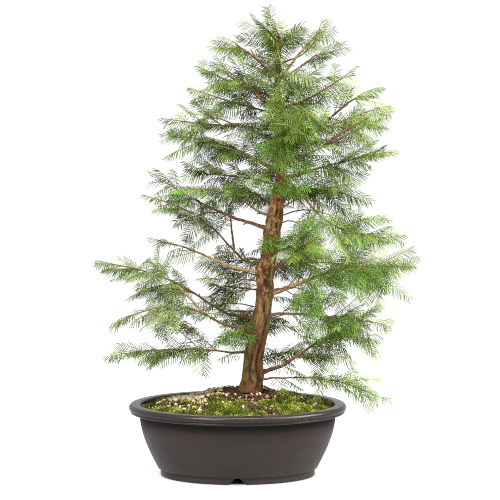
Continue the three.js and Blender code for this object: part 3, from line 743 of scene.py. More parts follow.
def notch_block(sign):
    """A rounded wedge to cut through the foot ring at the front, -1, or the back, 1."""
    below, above, height, edge = (NOTCH[key] for key in ("foot", "top", "height", "edge"))
    outline = [(-below - NOTCH["splay"], -0.002), (-below, edge),
               (-above - 0.0015, height - edge), (-above, height)]
    outline += [(-x, z) for x, z in reversed(outline)]
    outline.reverse()
    reach = RING - OVAL_BY - RING_WIDTH / 2
    half = NOTCH["half_depth"]
    rows = [[(x, sign * reach + y, z) for x, z in outline] for y in (-half, half)]
    points = np.array(rows).reshape(-1, 3) + MIDDLE
    n = len(outline)
    faces = [tuple(range(n)), tuple(range(2 * n - 1, n - 1, -1))]
    faces += [(j, j + n, (j + 1) % n + n, (j + 1) % n) for j in range(n)]
    mesh = bpy.data.meshes.new("notch")
    mesh.from_pydata(points.tolist(), [], faces)
    return linked(bpy.data.objects.new("notch", mesh))


def cut(piece, blocks):
    """Cuts blocks out of a piece for good."""
    for block in blocks:
        modifier = piece.modifiers.new("cut", "BOOLEAN")
        modifier.operation, modifier.solver, modifier.object = "DIFFERENCE", "EXACT", block
    bpy.context.view_layer.update()
    evaluated = piece.evaluated_get(bpy.context.evaluated_depsgraph_get())
    mesh = bpy.data.meshes.new_from_object(evaluated)
    piece.modifiers.clear()
    piece.data = mesh
    for block in blocks:
        bpy.data.objects.remove(block)


def make_pot():
    profile = np.array([*foot_section(), *wall_section(), *lip_section(), *inside_section()])
    made = piece_of(*lathe(profile, POT_SEGMENTS), "plastic_pot", plastic_material())
    cut(made, [notch_block(-1), notch_block(1)])
    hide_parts("pot")


# ---------------------------------------------------------------- soil and what lies on it

SOIL = {"edge": POT_HEIGHT - 0.0085, "edge_half_width": 0.1565, "pad": 0.025, "dome": 1.25,
        "lump": 0.0022, "clod": 0.0022, "skirt": 0.02}
HEAP = {"x": -0.010, "y": 0.030, "width": 0.034, "depth": 0.022}  # of mulch behind the trunk
HEAP_HEIGHT = 0.007

# Drifts on the mound, whose edge is at 1 here: pale stones at the back left, and mulch.
STONES = {"x": -0.42, "y": 0.22, "width": 0.30, "depth": 0.50}
MULCH = {"x": -0.05, "y": 0.25, "width": 0.26, "depth": 0.50}

MAT = {"rings": 34, "segments": 132, "shares": (0.3, 0.985), "angles": (-150, 40)}
CUSHION_HEIGHT = 0.003
MOSS_LEAF = {"length": (0.0020, 0.0055), "half_width": (0.0004, 0.0008)}
MOSS_TINTS = [srgb(40, 38, 14), srgb(68, 80, 18), srgb(102, 116, 28), srgb(140, 152, 44), srgb(182, 186, 80)]

STONE_TINTS = [srgb(196, 168, 134), srgb(164, 132, 98), srgb(220, 204, 178), srgb(92, 72, 50),
               srgb(44, 32, 22), srgb(104, 78, 50)]
STONE = {"size": (0.0014, 0.0037), "stretch": (1, 1, 1), "tints": [0, 0, 1, 2, 2]}
BARK_CRUMB = {"size": (0.0009, 0.0024), "stretch": (2.0, 0.8, 0.6), "tints": [3, 3, 4, 5]}


def drifted(x, y, spot):
    """1 in a spot's middle, fading to 0 round it."""
    return np.exp(-(((x - spot["x"]) / spot["width"]) ** 2) - ((y - spot["y"]) / spot["depth"]) ** 2)


def soil_point(share, angle):
    """The mound's surface: share 0 is the pad round the trunk, and 1 the edge at the pot."""
    across, along = np.cos(angle), np.sin(angle)
    half = SOIL["edge_half_width"]
    edge = oval(np.stack([half * across, half * along, 0 * across], -1))
    pad = np.stack([TRUNK[0][1] + SOIL["pad"] * across, SOIL["pad"] * along, 0 * across], -1)
    lump = np.sin(angle * 5 + share * 7) + np.sin(angle * 3 - share * 11)
    height = lerp(SOIL_PEAK, SOIL["edge"], share ** SOIL["dome"])
    height = height + SOIL["lump"] * lump * np.sin(share * np.pi)
    made = lerp(pad, edge, np.asarray(share)[..., None])
    made[..., 2] = height + HEAP_HEIGHT * drifted(made[..., 0], made[..., 1], HEAP)
    return made


def make_soil(rings=60, segments=216):
    s, a = np.meshgrid(np.linspace(0, 1, rings), full_turn(segments), indexing="ij")
    top = soil_point(s, a).reshape(-1, 3)
    clods = layered_noise_at(top, 90) * SOIL["clod"]
    top[:, 2] += clods * np.clip((1 - s.ravel()) * 12, 0.2, 1) - 0.0012
    skirt = top[-segments:].copy()
    skirt[:, 2] = SOIL["edge"] - SOIL["skirt"]
    ends = (TRUNK[0][1], 0, SOIL_PEAK - 0.001), (0, 0, SOIL["edge"] - SOIL["skirt"])
    points, faces = closed(np.concatenate([top, skirt]), segments, *ends)
    made = piece_of(points, faces, "soil_mound", soil_material())
    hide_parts("soil")


def mossy(share, angle):
    """How thick the moss is at a point of the mound, from 0 to 1."""
    x, y = share * np.cos(angle), share * np.sin(angle)
    edge = np.clip((share - 0.78) / 0.15, 0, 1)
    bare = 0.95 * drifted(x, y, STONES)
    front_right = 0.66 - 0.25 * y + 0.12 * x + 0.4 * edge - bare - 0.6 * drifted(x, y, MULCH)
    patches = layered_noise_at(slice_points(x, y, 4.5, 3.7))
    return np.clip(front_right * np.clip(share * 3 - 0.2, 0, 1) + 1.25 * patches, 0, 1)


def cushions(points):
    """Moss grows in cushions: above 0 on one, and below 0 between them."""
    return noise_at(points, 85) + 0.5 * noise_at(points, 190)


def make_moss():
    """A lumpy mat over the moss's own space."""
    shares = np.linspace(*MAT["shares"], MAT["rings"])
    angles = np.radians(np.linspace(*MAT["angles"], MAT["segments"]))
    s, a = np.meshgrid(shares, angles, indexing="ij")
    top = soil_point(s, a).reshape(-1, 3)
    top[:, 2] += lerp(-0.0025, 0.0032, mossy(s.ravel(), a.ravel())) + CUSHION_HEIGHT * cushions(top)
    faces = grid_faces(MAT["rings"], MAT["segments"], joined=False)[:, ::-1]
    made = piece_of(top, faces, "moss_mat", moss_material())
    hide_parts("moss")


def scattered(count, least, most):
    """Points spread evenly over the mound: how far out each is, and its angle."""
    return np.sqrt(rng.uniform(least, most, count)), rng.uniform(-np.pi, np.pi, count)


def make_moss_leaves(count=30000):
    """Short leaves that stand all over the mossy ground."""
    share, angle = scattered(count, 0.02, 0.99)
    thick = mossy(share, angle)
    clumps = noise_at(slice_points(share * np.cos(angle), share * np.sin(angle), 9, 0.5))
    keep = thick + 0.45 * clumps > rng.uniform(0.2, 0.8, count)
    share, angle, thick = share[keep], angle[keep], thick[keep]
    roots = soil_point(share, angle)
    cushion = cushions(roots)
    roots[:, 2] += lerp(-0.002, 0.003, thick) + CUSHION_HEIGHT * cushion
    lean = unit(rng.normal(0, 1, (len(roots), 3)) * (1, 1, 0.2) + (0, 0, 1.1))
    side = unit(np.cross(lean, rng.normal(0, 1, (len(roots), 3))))
    length = rng.uniform(*MOSS_LEAF["length"], (len(roots), 1))
    width = rng.uniform(*MOSS_LEAF["half_width"], (len(roots), 1))
    points = np.stack([roots - side * width, roots + side * width, roots + lean * length], 1)
    tint = np.clip(np.round(1.7 + 3.2 * cushion + rng.normal(0, 0.8, len(roots))), 0, len(MOSS_TINTS) - 1)
    soup = Soup()
    for number in range(len(MOSS_TINTS)):
        chosen = points[tint == number].reshape(-1, 3)
        soup.add(chosen, np.arange(len(chosen)).reshape(-1, 3), number)
    soup.piece("moss_leaves", palette("moss_leaf", MOSS_TINTS, 0.8, 0.2))


def ico_ring(z, turn):
    return [(0.894 * math.cos(a), 0.894 * math.sin(a), z) for a in np.radians(np.arange(5) * 72 + turn)]


ICO = np.array([(0, 0, 1), *ico_ring(0.447, 0), *ico_ring(-0.447, 36), (0, 0, -1)])
ICO_FACES = np.array(
    [(0, 1 + k, 1 + (k + 1) % 5) for k in range(5)]
    + [(1 + k, 6 + k, 1 + (k + 1) % 5) for k in range(5)]
    + [(1 + (k + 1) % 5, 6 + k, 6 + (k + 1) % 5) for k in range(5)]
    + [(11, 6 + (k + 1) % 5, 6 + k) for k in range(5)])


def crumb(kind):
    """A stone or crumb of bark: its points, size and tint."""
    size = rng.uniform(*kind["size"])
    stretch = rng.uniform(0.6, 1.2, 3) * kind["stretch"]
    shape = ICO * rng.uniform(0.65, 1.25, (12, 1)) * size * stretch
    turn = rng.uniform(0, 2 * np.pi)
    spin = np.array([[math.cos(turn), -math.sin(turn), 0], [math.sin(turn), math.cos(turn), 0], [0, 0, 1]])
    return shape @ spin.T, size, rng.choice(kind["tints"])


def make_grit(count=6500):
    """Small stones and crumbs of bark, thickest where there is no moss."""
    soup = Soup()
    share, angle = scattered(count, 0.0, 0.97)
    bare = 1 - mossy(share, angle)
    stony = 0.06 + 0.94 * drifted(share * np.cos(angle), share * np.sin(angle), STONES)
    for s, a, b, stone in zip(share, angle, bare, stony):
        if b < rng.uniform(0.0, 1.0):
            continue
        points, size, tint = crumb(STONE if rng.uniform() < stone * 0.75 else BARK_CRUMB)
        place = soil_point(np.array([s]), np.array([a]))[0] + (0, 0, size * 0.2)
        soup.add(points + place, ICO_FACES, tint)
    soup.piece("grit_and_bark", palette("grit", STONE_TINTS, 0.85, 0.3))


# ---------------------------------------------------------------- trunk and boughs

TRUNK_SIDES, TRUNK_ROWS = 96, 460
DARKER_FOOT_HEIGHT = 0.14  # how far up from its foot the trunk is darker
RELIEF_DEPTH, RELIEF_SHARE = 0.0021, 0.17  # of the bark, and at most what share of the radius
LUMP_HEIGHT = 0.0010
KNOT = {"reach": 0.0085, "rise": 0.0022, "bough": 0.003}
BLISTERS = {"middle": 0.335, "reach": 0.040, "above": 0.55, "least": 0.18, "height": 0.0016}
GROOVE = {"heading": -64, "width": 0.17, "low": 0.142, "high": 0.245, "depth": 0.0020}

BARKS = {"bough": 0, "pale": 1, "dark": 2}
BOUGH_BARKS = {"left_4": "pale", "left_11": "pale", "right_4": "pale", "right_10": "pale",
               "left_1": "dark", "left_3": "dark"}
BOUGH_SIDES, BRANCH_SIDES = 14, 8
BUD_SPACING = 0.011  # between the rings where buds sat on a bough


def smooth_trunk(height):
    """The trunk's middle and radius at many heights, on a curve through its stations."""
    stations = TRUNK[:, 0]
    k = np.clip(np.searchsorted(stations, height) - 1, 0, len(stations) - 2)
    slope = np.gradient(TRUNK[:, 1:], stations, axis=0)
    span = (stations[k + 1] - stations[k])[:, None]
    t = ((height - stations[k])[:, None] / span).clip(0, 1)
    a, b = TRUNK[k, 1:], TRUNK[k + 1, 1:]
    made = ((2 * t**3 - 3 * t**2 + 1) * a + (t**3 - 2 * t**2 + t) * span * slope[k]
            + (3 * t**2 - 2 * t**3) * b + (t**3 - t**2) * span * slope[k + 1])
    return made[:, :2], made[:, 2]


def bark_relief(points, axis_points):
    """Furrows that run up the trunk, fork and close again: 0 in a furrow and 1 on a ridge."""
    place = np.column_stack([(points - axis_points)[:, :2], points[:, 2]])
    furrow = abs(noise_at(place * (170, 170, 30))) * 3.2
    broad = abs(noise_at(place * (75, 75, 14) + (0, 0, 5))) * 4.0
    flakes = noise_at(place * (260, 260, 80))
    return np.clip(np.minimum(furrow, 1) * 0.42 + np.minimum(broad, 1) * 0.36 + 0.24 * (0.5 + flakes), 0, 1)


def knobby(heights):
    """How blistered the bark is at each height: most in one band, and less on the trunk above it."""
    band = np.exp(-(((heights - BLISTERS["middle"]) / BLISTERS["reach"]) ** 2))
    above = BLISTERS["above"] * np.clip((heights - BLISTERS["middle"]) / 0.02, 0, 1)
    return np.maximum(np.maximum(band, above), BLISTERS["least"])[:, None]


def blisters(points, heights):
    """Small swellings, thickest where the trunk is knobby."""
    found = noise_at(points.reshape(-1, 3), 130).reshape(points.shape[:2])
    return np.clip(found * 2.4 - 0.1, 0, 1) * knobby(heights)


def groove_at(angles, heights):
    """A seam up the foot of the trunk, from 0 to 1."""
    wander = math.radians(GROOVE["heading"]) + 0.16 * np.sin(heights * 90)[:, None]
    turn = np.angle(np.exp(1j * (angles - wander)))
    ends = np.clip((heights - GROOVE["low"]) / 0.02, 0, 1) * np.clip((GROOVE["high"] - heights) / 0.03, 0, 1)
    return np.exp(-((turn / GROOVE["width"]) ** 2)) * ends[:, None]


def algae_at(ring, heights):
    """Green on the trunk's right flank in its middle, and on its left flank near its foot."""
    right = np.clip(ring[..., 0] * 0.9 - 0.1, 0, 1) * np.exp(-(((heights - 0.31) / 0.075) ** 2))[:, None]
    left = np.clip(-ring[..., 0] * 0.9, 0, 1) * np.exp(-(((heights - 0.19) / 0.06) ** 2))[:, None]
    return right + left + 0.08


def flared(heights, radius):
    """The plain trunk's radii, with the lobes of its flare."""
    flare = np.exp(-(heights - GROUND) / FLARE["height"])[:, None]
    lobes = FLARE["depth"] * np.cos(FLARE["lobes"] * full_turn(TRUNK_SIDES))[None]
    return radius[:, None] * (1 + flare * (FLARE["spread"] + lobes))


def knotted(radii, plain):
    """The radii with a knot round the foot of each bough."""
    for bough in BOUGHS.values():
        middle, radius = trunk_at(bough.height)
        away = np.linalg.norm((plain - middle - compass(bough.heading) * radius) * (1, 1, 0.8), axis=-1)
        radii = radii + KNOT["rise"] * (bough.radius / KNOT["bough"]) * np.exp(-((away / KNOT["reach"]) ** 2))
    return radii


def make_trunk():
    heights = np.linspace(GROUND, TRUNK_TOP, TRUNK_ROWS)
    middle, radius = smooth_trunk(heights)
    line = np.column_stack([middle, heights])
    ring = ring_directions(line, TRUNK_SIDES)
    radii = flared(heights, radius)
    plain = line[:, None] + ring * radii[..., None]
    skin, size = plain.reshape(-1, 3), radii.shape
    relief = bark_relief(skin, np.repeat(line, TRUNK_SIDES, axis=0)).reshape(size)
    groove = groove_at(np.arctan2(ring[..., 1], ring[..., 0]), heights)
    radii = radii + (relief - 0.75) * np.minimum(RELIEF_DEPTH, radii * RELIEF_SHARE)
    radii = radii + blisters(plain, heights) * BLISTERS["height"] - groove * GROOVE["depth"]
    lumps = layered_noise_at(skin, 46, 2).reshape(size) * LUMP_HEIGHT
    radii = knotted(radii, plain) + lumps * np.clip(radius[:, None] / 0.012, 0, 1)
    points, faces = tube(line, radii, TRUNK_SIDES)
    points[:TRUNK_SIDES, 2] = GROUND
    made = piece_of(points, faces, "bark_trunk", bark_material())
    layers = {"relief": relief, "algae": algae_at(ring, heights),
              "blister": np.broadcast_to(knobby(heights), size), "groove": groove}
    for name, layer in layers.items():
        values = np.concatenate([layer.ravel(), [0, 0]]).astype(np.float32)
        made.data.attributes.new(name, "FLOAT", "POINT").data.foreach_set("value", values)
    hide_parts("trunk")


def carried_at(name, share):
    """A point of the trunk, a bough or its foliage's stem."""
    if name == "trunk":
        return trunk_at(share)[0]
    curve = bough_curve(BOUGHS[name])
    if share <= 1:
        return curve.at(share)
    return stem_curve(curve.end, curve.tangent(1.0), BOUGHS[name].foliage).at(share - 1)


def branch_curve(branch):
    start = carried_at(branch.carrier, branch.at)
    end = start + compass(branch.heading, branch.climb) * branch.length
    return Bezier(start, (start + end) / 2 + 0.08 * branch.length * UP, end)


def bough_tube(bough):
    """A bough that swells where it leaves the trunk, with rings where its buds sat."""
    shares = np.linspace(0.0, 1.0, max(24, int(bough.reach / 0.0016)))
    points = bough_curve(bough).at(shares)
    bark = trunk_at(bough.height)[1]
    swell = 1 + BOUGH_SWELL * np.exp(-np.maximum(shares * bough.reach - bark, 0) / BOUGH_SWELL_LENGTH)
    radii = bough.radius * lerp(1, BOUGH_TIP, shares) * swell
    wander = drift_at(points, 32) * 0.0034 + drift_at(points, 95) * 0.0010
    points = points + wander * np.sin(shares * np.pi)[:, None]
    buds = 1 + 0.16 * np.maximum(np.cos(shares * bough.reach / BUD_SPACING * 2 * np.pi), 0) ** 6
    relief = np.column_stack([noise_at(points * 130 + (0, 0, k * 1.3)) for k in range(BOUGH_SIDES)])
    return tube(points, (radii * buds)[:, None] * (1 + 0.1 * relief), BOUGH_SIDES)


def branch_tube(branch):
    shares = np.linspace(0, 1, max(8, round(branch.length / 0.003)))
    points = branch_curve(branch).at(shares)
    line = points + drift_at(points, 70) * 0.0018 * shares[:, None]
    knobs = 1 + 0.12 * np.cos(np.arange(len(line)) * 1.9)
    return tube(line, np.linspace(branch.radius, branch.tip, len(line)) * knobs, BRANCH_SIDES)


def make_boughs():
    soup = Soup()
    for name, bough in BOUGHS.items():
        soup.add(*bough_tube(bough), BARKS[BOUGH_BARKS.get(name, "bough")])
    for branch in BRANCHES:
        soup.add(*branch_tube(branch), BARKS[branch.bark])
    materials = [
        bough_material("bough_bark", srgb(68, 46, 32), srgb(146, 110, 78)),
        bough_material("pale_bough_bark", srgb(112, 90, 54), srgb(188, 157, 106)),
        bough_material("dark_bough_bark", srgb(46, 34, 25), srgb(112, 86, 62)),
    ]
    made = soup.piece("bark_boughs", materials, smooth=True)
    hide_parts(*("bough_" + name for name in BOUGHS))


# ---------------------------------------------------------------- sprays of needles

NEEDLE = {"pitch": 0.0035, "length": 0.0184, "width": 0.0013}
STATIONS = np.array([0.0, 0.3, 0.72, 1.0])  # along a needle
HALF_WIDTHS = np.array([0.3, 0.5, 0.42])  # at all of them but the tip
NEEDLE_FACES = np.array([(0, 1, 3), (0, 3, 2), (2, 3, 5), (2, 5, 4), (4, 5, 6)])
LEAN = (78, 40)  # between a needle and its spray's axis, at the root and at the tip
HANG = 24  # how far a level spray's needles hang
STALK_RADII = [0.0007, 0.0006, 0.00045, 0.00025]

# From the crown's inside, in painted shade, to its brightest tips, then the vivid ones in front, and the
# greyer ones for undersides and painted grey highlights.
TINTS = [srgb(31, 43, 7), srgb(46, 62, 11), srgb(64, 85, 19), srgb(82, 105, 30), srgb(99, 122, 45),
         srgb(118, 140, 68), srgb(142, 161, 95), srgb(70, 106, 25), srgb(92, 130, 44),
         srgb(100, 114, 72), srgb(126, 139, 97)]
BRIGHTEST, VIVID, PALE = 6, 7, 9
AXIS, STALK = len(TINTS), srgb(116, 122, 60)  # the spray's own stalk
LIFT = 0.045  # how far above its stem a spray is at its brightest
VIVID_BELOW = 0.56  # few sprays above this height are vivid
CROWN_HEIGHTS = [0.12, 0.22, 0.36, 0.5, 0.62, 0.76]
CROWN_HALF_WIDTHS = [0.22, 0.27, 0.24, 0.2, 0.15, 0.03]


def needle_headings(t, side, tangent, across):
    """The needles' headings: to both sides of the axis, leaning forward and hanging a little."""
    beside = unit(across - tangent * (tangent @ across)[:, None])
    normal = np.cross(tangent, beside)
    normal *= np.where(normal[:, 2:] < 0, -1.0, 1.0)
    lean = np.radians(lerp(*LEAN, t**1.5) + rng.normal(0, 4, len(t)))[:, None]
    level = abs(float(normal[len(t) // 2, 2]))
    hang = np.radians(rng.normal(HANG * level, 18) + rng.normal(0, 6, len(t)))[:, None]
    out = np.cos(hang) * side[:, None] * beside - np.sin(hang) * normal
    return unit(np.cos(lean) * tangent + np.sin(lean) * out)


def needle_corners(t, roots, tangent, heading, length):
    """The seven corners of each needle: longest in the middle of a spray, and curling."""
    size = NEEDLE["length"] * min(1.05, 0.62 + length / 0.17)
    reach = size * np.minimum(1, 0.7 + 1.5 * t) * (1 - 0.5 * t**4) * rng.normal(1, 0.07, len(t))
    curl = rng.normal(0.20, 0.05, (len(t), 1)) * tangent - rng.uniform(0.05, 0.3) * UP
    u = STATIONS[None, :, None]
    spine = roots[:, None] + reach[:, None, None] * (heading[:, None] * u + curl[:, None] * u**2)
    face = unit(np.cross(heading, tangent) + rng.normal(0, 0.25, (len(t), 3)))
    flat = unit(np.cross(face, heading))[:, None] * NEEDLE["width"] * HALF_WIDTHS[None, :, None]
    points = np.empty((len(t), 7, 3))
    points[:, 0:6:2] = spine[:, :3] - flat
    points[:, 1:6:2] = spine[:, :3] + flat
    points[:, 6] = spine[:, 3]
    return points.reshape(-1, 3)


def needle_tints(t, tint, young):
    """The spray's tint, brighter at a young spray's tip and darker here and there."""
    fresh = tint + ((t > 0.66) & young & (tint < BRIGHTEST))
    return fresh - ((rng.uniform(size=len(t)) < 0.15) & (0 < fresh) & (fresh < VIVID))


def spray(soup, tint, root, heading, across, length, droop, young):
    """Two rows of needles along an arching axis. across lies in the spray's plane."""
    pairs = max(5, round(length / NEEDLE["pitch"]))
    t = np.repeat((np.arange(pairs) + 0.8) / pairs, 2)
    side = np.tile([1.0, -1.0], pairs)
    t = np.clip(t + rng.normal(0, 0.10 / pairs, len(t)), 0, 1)
    down = -UP - heading * np.dot(heading, -UP)
    bend = droop * down + rng.normal(0, 0.13) * across
    roots = root + length * (t[:, None] * heading + t[:, None] ** 2 * bend)
    tangent = unit(heading + 2 * t[:, None] * bend)
    headings = needle_headings(t, side, tangent, across)
    points = needle_corners(t, roots, tangent, headings, length)
    faces = (NEEDLE_FACES[None] + 7 * np.arange(len(t))[:, None, None]).reshape(-1, 3)
    soup.add(points, faces, np.repeat(needle_tints(t, tint, young), len(NEEDLE_FACES)))
    shares = np.linspace(0, 0.98, len(STALK_RADII))[:, None]
    stalk = root + length * (shares * heading + shares**2 * bend)
    soup.add(*tube(stalk, STALK_RADII, 3), AXIS)


def crown_half_width(height):
    """How far the crown reaches from the trunk at a height."""
    return np.interp(height, CROWN_HEIGHTS, CROWN_HALF_WIDTHS)


def daylight(place):
    """How much brighter the needles are than elsewhere: low on the right more, high on the left less."""
    right = np.clip((place[0] - 0.08) / 0.10, 0, 1)
    high = np.clip((place[2] - 0.26) / 0.18, 0, 1)
    return 0.9 * right * (1 - high) - 0.7 * high * (1 - right)


def tint_at(place, line, tip, mood, vivid):
    """Painted shade inside the crown and under its stems, painted light on top of them, and brighter at the
    tips.
    """
    middle = trunk_beside(place)[0]
    out = min(1.0, np.linalg.norm((place - middle)[:2]) / crown_half_width(place[2]))
    low = 1 - (place[2] - GROUND) / (CROWN_TOP - GROUND)
    away = place - line[np.argmin(np.linalg.norm(line - place, axis=1))]
    lift = float(np.clip((away[2] - 0.4 * away[1]) / LIFT, -1, 1))
    # Greyer tints: paler undersides, and painted grey highlights.
    greyness = 0.09 + 0.28 * low * (place[0] < middle[0])
    if vivid <= 0 and rng.uniform() < greyness * (0.4 + 0.8 * out):
        return PALE + int(rng.uniform() < 0.4)
    front = 0.42 * (middle[1] - place[1]) / 0.09 - (0.35 if place[2] > VIVID_BELOW else 0.1)
    if rng.uniform() < front + vivid:
        return VIVID + int(rng.uniform() < 0.35 + 0.3 * lift)
    # Painted light and shade: sprays further out, higher over their stem and in daylight get brighter tints.
    light = 1.5 + 1.9 * out + 1.2 * lift + 0.5 * tip + mood + daylight(place) + rng.normal(0, 0.5)
    return int(np.clip(round(light), 0, BRIGHTEST))


# ---------------------------------------------------------------- where no spray grows

SHOWN_RADIUS, SHOWN_MARGIN = 0.0018, 0.0065  # of branches that no spray hides, and how clear it stays
SHOWN_BOUGH, SHOWN_BELOW = 0.0026, 0.46  # the least radius and greatest height of boughs left in view
TRUNK_MARGIN = 0.006  # how clear a spray stays of the trunk's bare stretches
SIDE_ROOM = 0.004  # how far past the solids' own box a spray may reach


def inside_trunk(place):
    middle, radius = trunk_beside(place)
    return place[2] <= TRUNK_TOP and np.linalg.norm(place[:2] - middle[:2]) < radius + 0.002


def seen(place):
    """Where a place lies on the upright plane through the pot's middle, as the camera sees it."""
    near = CAMERA["distance"] / (CAMERA["distance"] + place[1])
    return lerp(CAMERA["aside"], place[0], near), lerp(CAMERA["height"], place[2], near)


def in_a_gap(place):
    x, z = seen(place)
    return (((x - SKY[:, 0]) / SKY[:, 2]) ** 2 + ((z - SKY[:, 1]) / SKY[:, 3]) ** 2 < 1).any()


def hides_trunk(place):
    """Whether a place is in front of a stretch of trunk that is left bare."""
    middle, radius = trunk_beside(place)
    x, z = seen(place)
    if place[1] > middle[1] or abs(x - middle[0]) > radius + TRUNK_MARGIN:
        return False
    return any(low < z < high for low, high in BARE_TRUNK)


def shown_wood():
    """Where the bare inner parts of the thicker branches are seen, and how far forward they lie."""
    found = []
    for branch in BRANCHES:
        if branch.radius >= SHOWN_RADIUS:
            found.extend(branch_curve(branch).at(np.linspace(0.32, branch.leafy_from + 0.1, 12)))
    for bough in BOUGHS.values():
        if bough.radius >= SHOWN_BOUGH and bough.height < SHOWN_BELOW:
            found.extend(bough_curve(bough).at(np.linspace(0.3, 0.85, 14)))
    return np.array([(*seen(place), place[1]) for place in found])


def hides_branch(place):
    x, z = seen(place)
    away = np.hypot(x - SHOWN_WOOD[:, 0], z - SHOWN_WOOD[:, 1])
    return ((away < SHOWN_MARGIN) & (place[1] < SHOWN_WOOD[:, 2] + 0.004)).any()


def fitted(root, heading, length):
    """The length that keeps a spray's tip inside the solids' box."""
    low, high = (np.array(corner) - MIDDLE for corner in CAD_BOX)
    while length > 0.02:
        tip = root + heading * length
        if (tip > low - SIDE_ROOM).all() and (tip < high + SIDE_ROOM).all():
            break
        length *= 0.85
    return length


# ---------------------------------------------------------------- twigs

TWIG_SIDES, TWIG_RADII = 5, (0.0011, 0.0008)
TWIG_LEAST = 0.05  # a shorter shoot is one spray
BROWN_FROM = 0.085  # the length from which a twig's bark is brown
SIDE_PITCH = 0.0135  # between side sprays on a twig
SIDE_LEAN, SIDE_LEAN_PLAY = 48, 10
SIDE_LENGTHS = (0.034, 0.074)
FROND_PLAY = 10  # how far the sprays of one twig leave its plane
FLAT, FLAT_LEFT = 0.64, 0.42  # how much of its climb or fall a shoot keeps, and on the left
TILT, TILT_PLAY = (18, 44), 28  # how far a spray's back edge is raised, on the left and right
END_TAPER = 0.3  # how much less the last shoots of a mass reach
FINER_LOW = 0.36  # masses whose stem starts below this are low
FINER_PITCH = {"low": 0.0100, "right": 0.0165, "left": 0.0240}  # between finer shoots on a stem
BOUGH_PITCH, BRANCH_PITCH = 0.012, 0.011  # between leafy twigs
HIGH_BOUGH = 0.46  # boughs from above this are leafy from nearer the trunk
LEAFY_FROM = {"high": 0.35, "low": 0.45}
TRUNK_SHOOTS = {"low": 0.462, "high": 0.712, "count": 42, "turn": 137.5}
FAN_SPRAYS, FAN_TURN, HIGH_FAN = 6, 78, 0.59
BROWN, RED, GREEN = 0, 1, 2

# Tufts on the lower trunk: height, heading and length.
TUFTS = [(0.372, 206, 0.028), (0.366, 300, 0.022), (0.385, 20, 0.04), (0.252, 232, 0.050),
         (0.244, 205, 0.044), (0.236, 262, 0.04), (0.206, 218, 0.052), (0.198, 264, 0.046),
         (0.214, 190, 0.05), (0.31, 150, 0.05), (0.29, 35, 0.05), (0.33, 330, 0.035)]


class Growth:
    """The needles and twigs grown so far. A piece of needles is closed before it gets too large."""

    LIMIT = 100000

    def __init__(self):
        self.needles = [(Soup(), [])]
        self.twigs = Soup()
        self.line = TRUNK_LINE  # of the stem that carries the next sprays
        self.shade = 0.0  # how much darker the next twigs are
        self.mood = 0.0  # how much brighter the next sprays are
        self.vivid = 0.0  # how much likelier they are to be vivid

    def begin(self, node, line):
        self.line = line
        self.needles[-1][1].append(node)

    def spray(self, root, heading, across, length, droop, tip=0.0):
        if any(inside_trunk(root + heading * length * share) for share in (0.4, 0.9)):
            return
        length = fitted(root, heading, length)
        reached = [root + heading * length * share for share in (0.15, 0.5, 0.85)]
        if any(in_a_gap(place) or hides_trunk(place) or hides_branch(place) for place in reached):
            return
        if self.needles[-1][0].triangles > self.LIMIT:
            self.needles.append((Soup(), []))
        tint = tint_at(root + heading * length * 0.5, self.line, tip, self.mood, self.vivid)
        spray(self.needles[-1][0], tint, root, heading, across, length, droop, rng.uniform() < 0.5)

    def twig(self, points, first, last, slot):
        self.twigs.add(*tube(points, np.linspace(first, last, len(points)), TWIG_SIDES), slot)


TRUNK_LINE = np.column_stack([TRUNK[:, 1], TRUNK[:, 2], TRUNK[:, 0]])
SHOWN_WOOD = shown_wood()
growth = Growth()


def plane_of(heading, beside):
    """The unit vector across a heading, in the plane that also holds `beside`."""
    return unit(beside - heading * np.dot(beside, heading))


def level_plane(heading, beside):
    """The same for a spray: most lie nearly level with the back edge raised a little, and steep
    ones take the plane of `beside`."""
    level = np.cross(UP, heading)
    if np.linalg.norm(level) < 0.5:
        return turned(plane_of(heading, beside), heading, random_angle(0, TILT_PLAY))
    back = unit(level) * (1 if level[1] > 0 else -1)
    above = np.cross(heading, back)
    above *= 1 if above[2] > 0 else -1
    return leaning(back, above, random_angle(lerp(*TILT, (heading[0] + 1) / 2) * abs(back[1]), TILT_PLAY))


def flattened(heading, start):
    """A shoot's heading, nearer level on the left than on the right."""
    left = 0.5 - 0.5 * np.clip((start[0] - trunk_beside(start)[0][0]) / 0.05, -1, 1)
    return unit(heading * (1, 1, lerp(FLAT, FLAT_LEFT, left)))


def side_sprays(start, heading, across, reach, wood, droop, fullness):
    """Sprays to the left and right of a twig in turn."""
    normal = np.cross(heading, across)
    count = max(1, round(fullness * (wood + 0.012) / SIDE_PITCH))
    first = int(rng.integers(2))
    for k in range(count):
        share = (k + 0.5 + 0.3 * rng.uniform(-1, 1)) / count
        side = 1 if (k + first) % 2 else -1
        out = turned(heading, normal, random_angle(SIDE_LEAN, SIDE_LEAN_PLAY) * side)
        out = turned(out, heading, random_angle(0, FROND_PLAY))
        flat = turned(plane_of(out, heading), out, random_angle(0, FROND_PLAY))
        length = min(max(reach * rng.uniform(0.55, 0.9), SIDE_LENGTHS[0]), SIDE_LENGTHS[1])
        growth.spray(start + wood * share * heading, out, flat, length, droop + rng.uniform(0.0, 0.12))


